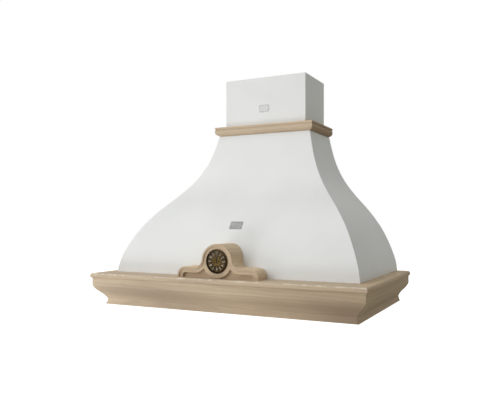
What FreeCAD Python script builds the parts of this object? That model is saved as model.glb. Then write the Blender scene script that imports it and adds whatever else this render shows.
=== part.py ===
"""Wall-hung cooker hood with a timber cornice, a painted bell and a shelf clock.

Units are millimetres. While the pieces are modelled, X runs to the viewer's right from the hood's
middle, Y runs towards the wall with the wall plane at 0, and Z is the height above the underside of
the cornice. The last step lowers everything by HANG_HEIGHT, so that the finished part has its origin
midway between the four wall-fixing holes.
"""
import FreeCAD, Part
import math
import os

os.makedirs("parts", exist_ok=True)

V = FreeCAD.Vector
UP = V(0, 0, 1)
RIGHT = V(1, 0, 0)
BACK = V(0, 1, 0)

# ---------------------------------------------------------------- overall
WIDTH = 900.0
DEPTH = 500.0
HANG_HEIGHT = 320.0

# ---------------------------------------------------------------- clearances
SLIDE_GAP = 0.3
SEAT_GAP = 0.2
RUNNING_GAP = 0.05
PILOT_GAP = 0.1
HOLE_GAP = 0.3

# ---------------------------------------------------------------- cornice moulding and shelf board
MOULD_HEIGHT = 84.0
MOULD_THICK = 53.0
FASCIA_SETBACK = 5.0
FASCIA_HEIGHT = 24.0
SWELL_INSET = 12.5
SWELL_HEIGHT = 47.8
OGEE_INSET = 22.0
OGEE_HEIGHT = 37.8
HOLLOW_INSET = 32.2
HOLLOW_HEIGHT = 26.4
WAIST_INSET = 38.4
WAIST_HEIGHT = 16.2
FLARE_INSET = 37.0
FLARE_HEIGHT = 9.5
FOOT_INSET = 33.0
BOARD_THICK = 15.0
BOARD_WIDTH = 114.0
BACK_BOARD_WIDTH = 60.0
NOSE_TOP_RADIUS = 7.0
NOSE_BOTTOM_RADIUS = 5.0
RAIL_THICK = 18.0
GLUE_BLOCK = 16.0
GLUE_BLOCK_LENGTH = 60.0

# ---------------------------------------------------------------- bell
BELL_HEIGHT = 455.0
SHELF_SIDE = 42.5
SHELF_FRONT = 78.0
NECK_LEDGE_SIDE = 20.3
NECK_LEDGE_FRONT = 11.3
BELL_WALL = 1.5
BELL_FLANGE = 25.0
# share of the height, and share of the spread from neck to base that is left at that height
BELL_CURVE = [
    (0.0, 1.0),
    (0.12, 0.950),
    (0.25, 0.841),
    (0.38, 0.695),
    (0.50, 0.490),
    (0.62, 0.293),
    (0.75, 0.146),
    (0.88, 0.056),
    (1.0, 0.0),
]
WALL_HOLE_RADIUS = 4.0
WALL_HOLE_SPACING_X = 300.0
WALL_HOLE_SPACING_Z = 200.0

# ---------------------------------------------------------------- neck ring and chimney
RING_HEIGHT = 30.7
RING_PROUD_SIDE = 12.1
RING_PROUD_FRONT = 11.1
RING_OVOLO = 12.9
RING_OVOLO_FOOT = 2.5
RING_QUIRK_LOW = 20.0
RING_QUIRK_HIGH = 24.0
RING_QUIRK_DEPTH = 2.0
RING_EDGE_ROUND = 1.5
RING_REBATE_HEIGHT = 4.0
CHIMNEY_WIDTH = 296.6
CHIMNEY_DEPTH = 169.6
CHIMNEY_HEIGHT = 191.0
CHIMNEY_SHEET = 1.2
CHIMNEY_RETURN = 18.0
CHIMNEY_FOOT = 12.0

# ---------------------------------------------------------------- duct spigot and backdraught flaps
SPIGOT_RADIUS = 74.5
SPIGOT_WALL = 1.5
SPIGOT_LENGTH = 60.0
SPIGOT_FLANGE_HALF = 92.0
NECK_SCREW_SPACING = 60.0
FLAP_THICK = 1.4
FLAP_RIM_GAP = 0.5
FLAP_HINGE_HEIGHT = 16.0
FLAP_STOP_WIDTH = 4.0
FLAP_STOP_LENGTH = 16.0
FLAP_STOP_THICK = 2.0
FLAP_PIN_RADIUS = 2.0
FLAP_KNUCKLE_RADIUS = 3.6
FLAP_KNUCKLE_LENGTH = 22.0
PIN_SIDES = 8
BORE_SIDES = 36
GLAND_X = 118.0
GLAND_Y = -40.0
GLAND_RADIUS = 9.0
GLAND_STEM_RADIUS = 6.0
GLAND_BORE_RADIUS = 4.0
GLAND_HEIGHT = 10.0
GLAND_NUT_HEIGHT = 5.0

# ---------------------------------------------------------------- blower
BLOWER_TO_DUCT = 83.2
BLOWER_Z = 310.0
SCROLL_START_RADIUS = 90.0
SCROLL_SHEET = 1.2
SCROLL_INLET_RADIUS = 63.0
SCROLL_FLANGE = 16.0
IMPELLER_RADIUS = 75.0
IMPELLER_BLADE_DEPTH = 14.0
IMPELLER_HALF_WIDTH = 62.0
IMPELLER_BLADES = 12
IMPELLER_SIDES = 24
IMPELLER_SHEET = 1.6
IMPELLER_HUB_RADIUS = 12.0
BLADE_THICK = 1.2
BLADE_LEAN = 4.0
SHAFT_RADIUS = 4.0
MOTOR_RADIUS = 40.0
MOTOR_TO_DISC = 8.0
MOTOR_ARM_WIDTH = 14.0
MOTOR_ARM_THICK = 2.0
HUB_SIDES = 12
INLET_SIDES = 24
SCROLL_FLATS = 20

# ---------------------------------------------------------------- underside pan, filters and latches
PAN_FACE_Z = 50.0
PAN_SHEET = 1.2
PAN_UPSTAND_INSET = 20.0
PAN_FLANGE = 15.0
FILTER_SIDE_STRIP = 34.0
FILTER_REAR_STRIP = 19.0
FILTER_MIDDLE_GAP = 16.0
FRONT_STRIP = 96.0
FILTER_EDGE_GAP = 2.0
FILTER_FRAME_BAR = 14.0
FILTER_FRONT_BAR = 40.0
FILTER_HEIGHT = 12.0
BAFFLE_COUNT = 7
BAFFLE_WIDTH = 29.0
BAFFLE_LIP = 3.6
BAFFLE_SHEET = 0.8
FILTER_TAB_LENGTH = 8.0
FILTER_TAB_WIDTH = 40.0
FILTER_TAB_THICK = 1.6
FILTER_TAB_SPACING = 200.0
LATCH_WIDTH = 40.0
LATCH_DEPTH = 14.0
LATCH_TRAVEL = 8.0
LATCH_PLATE = 2.0
LATCH_GRIP_WIDTH = 28.0
LATCH_GRIP_DROP = 4.0
LATCH_TONGUE_WIDTH = 22.0
LATCH_HOLD = 4.0
LATCH_SETBACK = 4.0

# ---------------------------------------------------------------- lamps and controls
LAMP_SIDE_INSET = 82.0
LAMP_LENGTH = 110.0
LAMP_WIDTH = 44.0
LAMP_RIM = 12.0
LAMP_STEP = 6.0
LAMP_DROP = 3.2
LAMP_LENS_THICK = 2.2
LAMP_BODY_HEIGHT = 20.0
CONTROL_LENGTH = 170.0
CONTROL_WIDTH = 34.0
CONTROL_DROP = 3.0
CONTROL_CORNER = 8.0
SWITCH_BOX_HEIGHT = 17.0
BUTTON_COUNT = 5
BUTTON_PITCH = 30.0
BUTTON_WIDTH = 20.0
BUTTON_DEPTH = 12.0
BUTTON_CHAMFER = 0.8
BUTTON_ROOM = 1.5
BUTTON_PROUD = 4.0
BUTTON_LENGTH = 13.0
BUTTON_TRAVEL = 2.5
JUNCTION_X = 190.0
JUNCTION_Z = 200.0
JUNCTION_WIDTH = 90.0
JUNCTION_DEPTH = 40.0
JUNCTION_HEIGHT = 60.0
JUNCTION_CHAMFER = 4.0

# ---------------------------------------------------------------- screws
SCREW_RADIUS = 1.9
SCREW_HEAD_RADIUS = 4.0
SCREW_HEAD_HEIGHT = 2.0
SCREW_BITE = 11.0
SCREW_SIDES = 6

# ---------------------------------------------------------------- shelf clock
CLOCK_SETBACK = 24.5
CLOCK_BELL_GAP = 1.2
CLOCK_FOOT_HALF = 134.0
CLOCK_WING_HEIGHT = 31.0
CLOCK_SHOULDER_RADIUS = 25.0
CLOCK_CENTRE_HEIGHT = 49.0
CLOCK_DRUM_RADIUS = 50.0
CLOCK_SWEEP_RADIUS = 25.4
CLOCK_RIM = 5.5
CLOCK_RIM_PROUD = 2.5
CLOCK_BAND = 17.0
CLOCK_BOSS_RADIUS = 48.0
CLOCK_POCKET_DEPTH = 8.0
INSERT_RADIUS = 30.0
INSERT_WALL = 1.4
INSERT_LENGTH = 22.0
INSERT_FLANGE_RADIUS = 34.0
INSERT_FLANGE_THICK = 1.2
BEZEL_RADIUS = 35.0
BEZEL_OPENING = 31.6
BEZEL_HEIGHT = 4.0
BEZEL_SIDE = 1.2
DIAL_THICK = 0.8
LENS_THICK = 0.8
HAND_THICK = 0.4
HAND_GAP = 0.25
HAND_BOSS = 0.8
ARBOR_RADIUS = 1.0
HOUR_PIPE_RADIUS = 2.0
MINUTE_HAND_LENGTH = 24.0
MINUTE_HAND_WIDTH = 2.4
HOUR_HAND_LENGTH = 16.0
HOUR_HAND_WIDTH = 3.2
MOVEMENT_SIZE = 36.0
MOVEMENT_DEPTH = 13.0
KNOB_RADIUS = 6.0
KNOB_LENGTH = 6.0
KNOB_SIDES = 12

# ---------------------------------------------------------------- levels that several pieces share
BOARD_TOP_Z = MOULD_HEIGHT + BOARD_THICK
NECK_Z = BOARD_TOP_Z + BELL_HEIGHT
CHIMNEY_TOP_Z = NECK_Z + CHIMNEY_HEIGHT
MOULD_INNER = FASCIA_SETBACK + MOULD_THICK
CAVITY_HALF = WIDTH / 2 - MOULD_INNER
CAVITY_FRONT_Y = -DEPTH + MOULD_INNER
BELL_BASE_HALF = WIDTH / 2 - SHELF_SIDE
BELL_BASE_DEPTH = DEPTH - SHELF_FRONT
CHIMNEY_HALF = CHIMNEY_WIDTH / 2
DUCT_Y = -CHIMNEY_DEPTH / 2
BELL_NECK_HALF = CHIMNEY_HALF + NECK_LEDGE_SIDE
BELL_NECK_DEPTH = CHIMNEY_DEPTH + NECK_LEDGE_FRONT
RING_HALF = BELL_NECK_HALF + RING_PROUD_SIDE
RING_DEPTH = BELL_NECK_DEPTH + RING_PROUD_FRONT


# ================================================================ helpers
def box(x0, x1, y0, y1, z0, z1):
    return Part.makeBox(x1 - x0, y1 - y0, z1 - z0, V(x0, y0, z0))


def rod(start, direction, radius, length):
    return Part.makeCylinder(radius, length, start, direction)


def tube(start, direction, outer, inner, length):
    return rod(start, direction, outer, length).cut(rod(start, direction, inner, length))


def prism(start, direction, radius, length, sides=36):
    """Regular prism along X, Y or Z, its corners on a circle of the given radius."""
    across = BACK if abs(direction.x) > 0.5 else RIGHT
    upward = direction.cross(across)
    turns = [2 * math.pi * index / sides for index in range(sides)]
    spokes = [across * math.cos(turn) + upward * math.sin(turn) for turn in turns]
    return polygon([start + spoke * radius for spoke in spokes]).extrude(direction * length)


def around(radius, sides):
    """Corner radius of a prism that a circle of the given radius just fits inside."""
    return radius / math.cos(math.pi / sides)


def polygon(points):
    return Part.Face(Part.makePolygon(points + [points[0]]))


def line(start, end):
    return Part.LineSegment(start, end).toShape()


def arc(start, middle, end):
    return Part.Arc(start, middle, end).toShape()


def face_of(edges):
    return Part.Face(Part.Wire(Part.__sortEdges__(edges)))


def fuse(shapes):
    result = shapes[0]
    for shape in shapes[1:]:
        result = result.fuse(shape)
    return result.removeSplitter()


def mirrored(shape):
    return shape.mirror(V(0, 0, 0), RIGHT)


def screw(x, y, seat_z, direction, length):
    """A hexagon-head screw driven along a direction, its head against seat_z."""
    seat = V(x, y, seat_z)
    head = prism(seat, -direction, SCREW_HEAD_RADIUS, SCREW_HEAD_HEIGHT, SCREW_SIDES)
    return fuse([head, prism(seat, direction, SCREW_RADIUS, length, SCREW_SIDES)])


def screw_hole(x, y, z0, z1, gap):
    return prism(V(x, y, z0), UP, SCREW_RADIUS + gap, z1 - z0, SCREW_SIDES)


parts = {}


def keep(name, shape):
    parts[name] = shape


# ================================================================ timber cornice
def mitre_plans(half_width, depth, width):
    """Plan outlines of a three-sided frame: front, left and right, mitred at the two corners."""
    outer_left = V(-half_width, -depth, 0)
    outer_right = V(half_width, -depth, 0)
    inner_left = V(-half_width + width, -depth + width, 0)
    inner_right = V(half_width - width, -depth + width, 0)
    front = [outer_left, outer_right, inner_right, inner_left]
    left = [outer_left, inner_left, V(-half_width + width, 0, 0), V(-half_width, 0, 0)]
    right = [outer_right, V(half_width, 0, 0), V(half_width - width, 0, 0), inner_right]
    return {"front": front, "left": left, "right": right}


def run_moulding(profile, side, half_width, depth):
    """Extrude a profile (X = inset from the outer edge, Y = height) along one side of the frame."""
    if side == "right":
        return mirrored(run_moulding(profile, "left", half_width, depth))
    if side == "front":
        length = profile.extrude(V(0, 0, 2 * half_width))
        length.rotate(V(0, 0, 0), V(1, 1, 1), 120)
        length.translate(V(-half_width, -depth, 0))
    else:
        length = profile.extrude(V(0, 0, depth))
        length.rotate(V(0, 0, 0), RIGHT, 90)
        length.translate(V(-half_width, 0, 0))
    return length


def frame_pieces(profile, half_width, depth, width, base_z, height):
    """The three mitred lengths of one moulding."""
    pieces = {}
    for side, plan in mitre_plans(half_width, depth, width).items():
        block = polygon(plan).extrude(V(0, 0, height))
        block.translate(V(0, 0, base_z))
        length = run_moulding(profile, side, half_width, depth)
        pieces[side] = length.common(block)
    return pieces


def cornice_profile():
    fascia_foot = V(FASCIA_SETBACK, MOULD_HEIGHT - FASCIA_HEIGHT, 0)
    fascia_top = V(FASCIA_SETBACK, MOULD_HEIGHT, 0)
    foot = V(FOOT_INSET, 0, 0)
    inner_foot = V(MOULD_INNER, 0, 0)
    inner_top = V(MOULD_INNER, MOULD_HEIGHT, 0)
    ogee = V(OGEE_INSET, OGEE_HEIGHT, 0)
    waist = V(WAIST_INSET, WAIST_HEIGHT, 0)
    return face_of([
        line(fascia_top, fascia_foot),
        arc(fascia_foot, V(SWELL_INSET, SWELL_HEIGHT, 0), ogee),
        arc(ogee, V(HOLLOW_INSET, HOLLOW_HEIGHT, 0), waist),
        arc(waist, V(FLARE_INSET, FLARE_HEIGHT, 0), foot),
        line(foot, inner_foot),
        line(inner_foot, inner_top),
        line(inner_top, fascia_top),
    ])


def corner_arc(centre, radius, start_degrees, end_degrees):
    """Arc in the profile plane about a centre, between two directions."""
    def at(degrees):
        turn = math.radians(degrees)
        return centre + V(radius * math.cos(turn), radius * math.sin(turn), 0)
    return arc(at(start_degrees), at((start_degrees + end_degrees) / 2), at(end_degrees))


def board_profile():
    low = MOULD_HEIGHT
    high = BOARD_TOP_Z
    top_centre = V(NOSE_TOP_RADIUS, high - NOSE_TOP_RADIUS, 0)
    bottom_centre = V(NOSE_BOTTOM_RADIUS, low + NOSE_BOTTOM_RADIUS, 0)
    return face_of([
        line(V(BOARD_WIDTH, low, 0), V(NOSE_BOTTOM_RADIUS, low, 0)),
        corner_arc(bottom_centre, NOSE_BOTTOM_RADIUS, 270, 180),
        line(V(0, low + NOSE_BOTTOM_RADIUS, 0), V(0, high - NOSE_TOP_RADIUS, 0)),
        corner_arc(top_centre, NOSE_TOP_RADIUS, 180, 90),
        line(V(NOSE_TOP_RADIUS, high, 0), V(BOARD_WIDTH, high, 0)),
        line(V(BOARD_WIDTH, high, 0), V(BOARD_WIDTH, low, 0)),
    ])


PAN_WALL_X = CAVITY_HALF - PAN_UPSTAND_INSET
PAN_WALL_FRONT_Y = CAVITY_FRONT_Y + PAN_UPSTAND_INSET
PAN_WALL_BACK_Y = -RAIL_THICK - PAN_UPSTAND_INSET
PAN_SPAN = PAN_WALL_BACK_Y - PAN_WALL_FRONT_Y
PAN_SCREW_X = PAN_WALL_X * 0.54
PAN_SCREW_SITES = [(x, PAN_WALL_FRONT_Y + PAN_FLANGE / 2) for x in (-PAN_SCREW_X, PAN_SCREW_X)]
PAN_SCREW_SITES += [(x, PAN_WALL_BACK_Y - PAN_FLANGE / 2) for x in (-PAN_SCREW_X, PAN_SCREW_X)]
PAN_SIDE_Y = PAN_WALL_FRONT_Y + PAN_SPAN / 2
PAN_SCREW_SITES += [(side * (PAN_WALL_X - PAN_FLANGE / 2), PAN_SIDE_Y) for side in (-1, 1)]
BELL_SCREW_X = BELL_BASE_HALF - BELL_WALL - BELL_FLANGE / 2
BELL_SCREW_Y = -BELL_BASE_DEPTH + BELL_WALL + BELL_FLANGE / 2
BELL_SCREW_SITES = [(share * BELL_SCREW_X, BELL_SCREW_Y) for share in (-0.6, 0.6)]
BELL_SCREW_SITES += [(side * BELL_SCREW_X, share * BELL_SCREW_Y) for side in (-1, 1) for share in (0.68, 0.2)]
CLOCK_SCREW_X = CLOCK_FOOT_HALF - CLOCK_SHOULDER_RADIUS - SCREW_HEAD_RADIUS
CLOCK_SCREW_SITES = [(x, (CAVITY_FRONT_Y + PAN_WALL_FRONT_Y) / 2) for x in (-CLOCK_SCREW_X, CLOCK_SCREW_X)]


def make_cornice():
    mouldings = frame_pieces(cornice_profile(), WIDTH / 2, DEPTH, MOULD_INNER, 0, MOULD_HEIGHT)
    for side, piece in mouldings.items():
        keep("cornice_moulding_" + side, piece)
    low = MOULD_HEIGHT
    high = BOARD_TOP_Z
    holes = [screw_hole(x, y, low, low + SCREW_BITE, PILOT_GAP) for x, y in PAN_SCREW_SITES]
    holes += [screw_hole(x, y, high - SCREW_BITE, high, PILOT_GAP) for x, y in BELL_SCREW_SITES]
    holes += [screw_hole(x, y, low, high, PILOT_GAP) for x, y in CLOCK_SCREW_SITES]
    drill = Part.makeCompound(holes)
    boards = frame_pieces(board_profile(), WIDTH / 2, DEPTH, BOARD_WIDTH, MOULD_HEIGHT, BOARD_THICK)
    for side, piece in boards.items():
        keep("shelf_board_" + side, piece.cut(drill))
    inner = WIDTH / 2 - BOARD_WIDTH
    back_board = box(-inner, inner, -BACK_BOARD_WIDTH, 0, MOULD_HEIGHT, BOARD_TOP_Z)
    keep("shelf_board_back", back_board.cut(drill))
    keep("cornice_back_rail", box(-CAVITY_HALF, CAVITY_HALF, -RAIL_THICK, 0, 0, MOULD_HEIGHT))


def make_glue_blocks():
    """Triangular blocks in the corner between the moulding and the underside of the board."""
    section = [V(0, 0, 0), V(-GLUE_BLOCK, 0, 0), V(0, 0, -GLUE_BLOCK)]
    side_block = polygon(section).extrude(V(0, GLUE_BLOCK_LENGTH, 0))
    blocks = []
    for share in (0.82, 0.36):
        block = side_block.copy()
        block.translate(V(CAVITY_HALF, share * CAVITY_FRONT_Y, MOULD_HEIGHT))
        blocks += [block, mirrored(block)]
    section = [V(0, 0, 0), V(0, GLUE_BLOCK, 0), V(0, 0, -GLUE_BLOCK)]
    front_block = polygon(section).extrude(V(GLUE_BLOCK_LENGTH, 0, 0))
    for share in (-0.77, 0.0, 0.77):
        block = front_block.copy()
        block.translate(V(share * CAVITY_HALF - GLUE_BLOCK_LENGTH / 2, CAVITY_FRONT_Y, MOULD_HEIGHT))
        blocks.append(block)
    keep("glue_blocks", Part.makeCompound(blocks))


# ================================================================ painted bell
def biarc(start, start_way, end, end_way):
    """Two arcs from start to end that meet smoothly and leave and arrive along the given ways."""
    chord = end - start
    both = start_way + end_way
    blend = 2 * (1 - start_way.dot(end_way))
    along = chord.dot(both)
    reach = chord.dot(chord)
    if blend < 1e-9:
        size = reach / (4 * chord.dot(end_way))
    else:
        size = (math.sqrt(along * along + blend * reach) - along) / blend
    joint = (start + end + (start_way - end_way) * size) * 0.5
    edges = []
    for first, last, way, forward in ((start, joint, start_way, True), (joint, end, end_way, False)):
        span = last - first
        across = V(-way.z, 0, way.x)
        bow = span.dot(across)
        if abs(bow) < 1e-6:
            edges.append(line(first, last))
            continue
        signed_radius = span.dot(span) / (2 * bow) if forward else -span.dot(span) / (2 * bow)
        pivot = first if forward else last
        centre = pivot + across * signed_radius
        middle = (first + last) * 0.5 - centre
        edges.append(arc(first, centre + middle * (abs(signed_radius) / middle.Length), last))
    return edges


def bell_curve(base, neck, sign, turned_in):
    """One edge of the bell as smooth arcs in the plane of (outward distance, height)."""
    points = []
    for height, spread in BELL_CURVE:
        outward = neck + spread * (base - neck) - turned_in
        points.append(V(sign * outward, 0, BOARD_TOP_Z + height * BELL_HEIGHT))
    curve = Part.BSplineCurve()
    curve.interpolate(points)
    ends = points[::2]
    ways = [curve.tangent(curve.parameter(point))[0] for point in ends]
    edges = []
    for index in range(len(ends) - 1):
        edges += biarc(ends[index], ways[index], ends[index + 1], ways[index + 1])
    return edges, points[0], points[-1]


def bell_width_block(turned_in):
    right, right_low, right_high = bell_curve(BELL_BASE_HALF, BELL_NECK_HALF, 1, turned_in)
    left, left_low, left_high = bell_curve(BELL_BASE_HALF, BELL_NECK_HALF, -1, turned_in)
    outline = face_of([line(left_low, right_low), line(right_high, left_high)] + right + left)
    return outline.extrude(V(0, -BELL_BASE_DEPTH, 0))


def bell_depth_block(turned_in):
    front, low, high = bell_curve(BELL_BASE_DEPTH, BELL_NECK_DEPTH, 1, turned_in)
    back_low = V(0, 0, low.z)
    back_high = V(0, 0, high.z)
    outline = face_of([line(back_low, low), line(high, back_high), line(back_high, back_low)] + front)
    block = outline.extrude(V(0, 2 * BELL_BASE_HALF, 0))
    block.rotate(V(0, 0, 0), UP, -90)
    block.translate(V(-BELL_BASE_HALF, 0, 0))
    return block


def make_bell():
    width_out = bell_width_block(0)
    width_in = bell_width_block(BELL_WALL)
    depth_out = bell_depth_block(0)
    depth_in = bell_depth_block(BELL_WALL)
    inside = width_in.common(depth_in)
    flange_top = BOARD_TOP_Z + BELL_WALL
    drill = [screw_hole(x, y, BOARD_TOP_Z, flange_top, HOLE_GAP) for x, y in BELL_SCREW_SITES]
    drill = Part.makeCompound(drill)
    front_edge = -BELL_BASE_DEPTH + BELL_WALL + BELL_FLANGE
    side_edge = BELL_BASE_HALF - BELL_WALL - BELL_FLANGE

    front_skin = depth_out.cut(depth_in).common(width_out)
    front_strip = box(-BELL_BASE_HALF, BELL_BASE_HALF, -BELL_BASE_DEPTH, front_edge, BOARD_TOP_Z, flange_top)
    keep("bell_front", fuse([front_skin, front_strip.common(inside)]).cut(drill))

    side_skin = width_out.cut(width_in).common(depth_in)
    side_skin = side_skin.common(box(0, BELL_BASE_HALF, -BELL_BASE_DEPTH, 0, BOARD_TOP_Z, NECK_Z))
    side_strip = box(side_edge, BELL_BASE_HALF, front_edge, -BELL_WALL, BOARD_TOP_Z, flange_top)
    right = fuse([side_skin, side_strip.common(inside)])
    keep("bell_right", right.cut(drill))
    keep("bell_left", mirrored(right).cut(drill))

    back_slab = box(-BELL_BASE_HALF, BELL_BASE_HALF, -BELL_WALL, 0, BOARD_TOP_Z, NECK_Z)
    back = back_slab.common(width_in)
    for x in (-WALL_HOLE_SPACING_X / 2, WALL_HOLE_SPACING_X / 2):
        for z in (-WALL_HOLE_SPACING_Z / 2, WALL_HOLE_SPACING_Z / 2):
            hole = rod(V(x, -BELL_WALL, HANG_HEIGHT + z), BACK, WALL_HOLE_RADIUS, BELL_WALL)
            back = back.cut(hole)
    keep("bell_back", back)
    return inside


# ================================================================ neck ring, chimney and duct spigot
NECK_SCREW_X = (SPIGOT_RADIUS + SPIGOT_FLANGE_HALF) / 2
NECK_SCREW_Y = NECK_SCREW_SPACING / 2
NECK_SCREW_SITES = [(a * NECK_SCREW_X, DUCT_Y + b * NECK_SCREW_Y) for a in (-1, 1) for b in (-1, 1)]
FOOT_RIVET_X = CHIMNEY_HALF + CHIMNEY_FOOT / 2
FOOT_RIVET_Y = [-share * CHIMNEY_DEPTH for share in (0.76, 0.24)]
FOOT_RIVET_SITES = [(side * FOOT_RIVET_X, y) for side in (-1, 1) for y in FOOT_RIVET_Y]
SPIGOT_BORE = SPIGOT_RADIUS - SPIGOT_WALL
FLAP_HINGE_Z = NECK_Z + FLAP_HINGE_HEIGHT


def neck_holes(z0, z1):
    """Holes for the blower screws, the chimney rivets and the cable gland."""
    holes = [screw_hole(x, y, z0, z1, HOLE_GAP) for x, y in NECK_SCREW_SITES]
    holes += [screw_hole(x, y, z0, z1, PILOT_GAP) for x, y in FOOT_RIVET_SITES]
    holes.append(rod(V(GLAND_X, GLAND_Y, z0), UP, GLAND_STEM_RADIUS + PILOT_GAP, z1 - z0))
    return Part.makeCompound(holes)


def make_neck_plate(inside):
    low = NECK_Z - BELL_WALL
    slab = box(-BELL_NECK_HALF * 2, BELL_NECK_HALF * 2, -BELL_NECK_DEPTH * 2, -BELL_WALL, low, NECK_Z)
    plate = slab.common(inside)
    plate = plate.cut(prism(V(0, DUCT_Y, low), UP, SPIGOT_BORE, BELL_WALL, BORE_SIDES))
    keep("neck_plate", plate.cut(neck_holes(low, NECK_Z)))


def ring_profile(width, rebated):
    base = NECK_Z
    top = NECK_Z + RING_HEIGHT
    ovolo_low = base + RING_OVOLO_FOOT
    ovolo_high = ovolo_low + RING_OVOLO
    quirk_low = base + RING_QUIRK_LOW
    quirk_high = base + RING_QUIRK_HIGH
    rounding = RING_EDGE_ROUND
    corners = [
        V(0, ovolo_high, 0),
        V(0, quirk_low, 0),
        V(RING_QUIRK_DEPTH, quirk_low, 0),
        V(RING_QUIRK_DEPTH, quirk_high, 0),
        V(0, quirk_high, 0),
        V(0, top - rounding, 0),
    ]
    edges = [line(V(RING_OVOLO, base, 0), V(RING_OVOLO, ovolo_low, 0))]
    edges.append(corner_arc(V(RING_OVOLO, ovolo_high, 0), RING_OVOLO, 270, 180))
    edges += [line(start, end) for start, end in zip(corners, corners[1:])]
    edges.append(corner_arc(V(rounding, top - rounding, 0), rounding, 180, 90))
    edges.append(line(V(rounding, top, 0), V(width, top, 0)))
    if rebated:
        step = width - CHIMNEY_FOOT - SEAT_GAP
        lift = base + RING_REBATE_HEIGHT
        inner = [V(width, top, 0), V(width, lift, 0), V(step, lift, 0), V(step, base, 0)]
    else:
        inner = [V(width, top, 0), V(width, base, 0)]
    inner.append(V(RING_OVOLO, base, 0))
    edges += [line(start, end) for start, end in zip(inner, inner[1:])]
    return face_of(edges)


def make_neck_ring():
    """Three mitred lengths round the foot of the chimney; the side lengths are rebated over its feet."""
    front_width = RING_DEPTH - CHIMNEY_DEPTH - SEAT_GAP
    side_width = RING_HALF - CHIMNEY_HALF - SEAT_GAP
    plans = mitre_plans(RING_HALF, RING_DEPTH, front_width)
    profiles = {"front": ring_profile(front_width, False), "left": ring_profile(side_width, True)}
    front = run_moulding(profiles["front"], "front", RING_HALF, RING_DEPTH)
    block = polygon(plans["front"]).extrude(V(0, 0, RING_HEIGHT))
    block.translate(V(0, 0, NECK_Z))
    keep("neck_ring_front", front.common(block))
    side_plan = [plans["left"][0], plans["left"][1]]
    side_plan += [V(-RING_HALF + side_width, -RING_DEPTH + front_width, 0), V(-RING_HALF + side_width, 0, 0)]
    side_plan.append(V(-RING_HALF, 0, 0))
    block = polygon(side_plan).extrude(V(0, 0, RING_HEIGHT))
    block.translate(V(0, 0, NECK_Z))
    left = run_moulding(profiles["left"], "left", RING_HALF, RING_DEPTH).common(block)
    keep("neck_ring_left", left)
    keep("neck_ring_right", mirrored(left))


def folded_cover(half, front, back, low, high):
    """A three-sided sheet cover with its two rear edges folded in."""
    sheet = CHIMNEY_SHEET
    outer = box(-half, half, front, back, low, high)
    inner = box(-half + sheet, half - sheet, front + sheet, back - sheet, low, high)
    gap = half - CHIMNEY_RETURN
    return outer.cut(inner).cut(box(-gap, gap, back - sheet, back, low, high))


def make_chimney():
    lower = folded_cover(CHIMNEY_HALF, -CHIMNEY_DEPTH, 0, NECK_Z, CHIMNEY_TOP_Z)
    foot = box(CHIMNEY_HALF, CHIMNEY_HALF + CHIMNEY_FOOT, -CHIMNEY_DEPTH, 0, NECK_Z, NECK_Z + CHIMNEY_SHEET)
    foot = foot.common(box(0, BELL_NECK_HALF, -CHIMNEY_DEPTH, -BELL_WALL, NECK_Z, CHIMNEY_TOP_Z))
    lower = fuse([lower, foot, mirrored(foot)])
    keep("chimney_cover", lower.cut(neck_holes(NECK_Z, NECK_Z + CHIMNEY_SHEET)))
    step = CHIMNEY_SHEET + SLIDE_GAP
    inner = folded_cover(
        CHIMNEY_HALF - step, -CHIMNEY_DEPTH + step, -step, NECK_Z + SEAT_GAP, CHIMNEY_TOP_Z - 1.0
    )
    keep("chimney_extension", inner)
    rivets = []
    seat = NECK_Z + CHIMNEY_SHEET
    for x, y in FOOT_RIVET_SITES:
        head = prism(V(x, y, seat), UP, SCREW_HEAD_RADIUS, CHIMNEY_SHEET, SCREW_SIDES)
        stem = prism(V(x, y, seat), -UP, SCREW_RADIUS, 2 * BELL_WALL + CHIMNEY_SHEET, SCREW_SIDES)
        rivets.append(fuse([head, stem]))
    keep("chimney_rivets", Part.makeCompound(rivets))


def make_spigot():
    """Round outlet on a square flange, with a stop for each flap and two holes for the flap pin."""
    base = V(0, DUCT_Y, NECK_Z)
    bore = prism(base, UP, SPIGOT_BORE, SPIGOT_LENGTH, BORE_SIDES)
    pipe = rod(base, UP, SPIGOT_RADIUS, SPIGOT_LENGTH)
    side = SPIGOT_FLANGE_HALF
    room = CHIMNEY_DEPTH / 2 - 4 * CHIMNEY_SHEET
    flange = box(-side, side, DUCT_Y - room, DUCT_Y + room, NECK_Z, NECK_Z + SPIGOT_WALL)
    stop_top = FLAP_HINGE_Z - FLAP_THICK / 2 - SEAT_GAP
    stops = []
    for sign in (-1, 1):
        tip = DUCT_Y + sign * (SPIGOT_BORE - FLAP_STOP_WIDTH)
        root = DUCT_Y + sign * (SPIGOT_BORE + SPIGOT_WALL / 2)
        y0, y1 = sorted((tip, root))
        half = FLAP_STOP_LENGTH / 2
        stops.append(box(-half, half, y0, y1, stop_top - FLAP_STOP_THICK, stop_top))
    pin_start = V(-SPIGOT_RADIUS, DUCT_Y, FLAP_HINGE_Z)
    pin_way = prism(pin_start, RIGHT, around(FLAP_PIN_RADIUS, PIN_SIDES), 2 * SPIGOT_RADIUS, PIN_SIDES)
    spigot = fuse([fuse([pipe, flange]).cut(bore)] + stops).cut(pin_way)
    keep("duct_spigot", spigot.cut(neck_holes(NECK_Z, NECK_Z + SPIGOT_WALL)))
    keep("flap_pin", rod(pin_start, RIGHT, FLAP_PIN_RADIUS, 2 * SPIGOT_RADIUS))
    screws = [screw(x, y, NECK_Z + SPIGOT_WALL, -UP, SCREW_BITE) for x, y in NECK_SCREW_SITES]
    keep("neck_screws", Part.makeCompound(screws))


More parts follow.
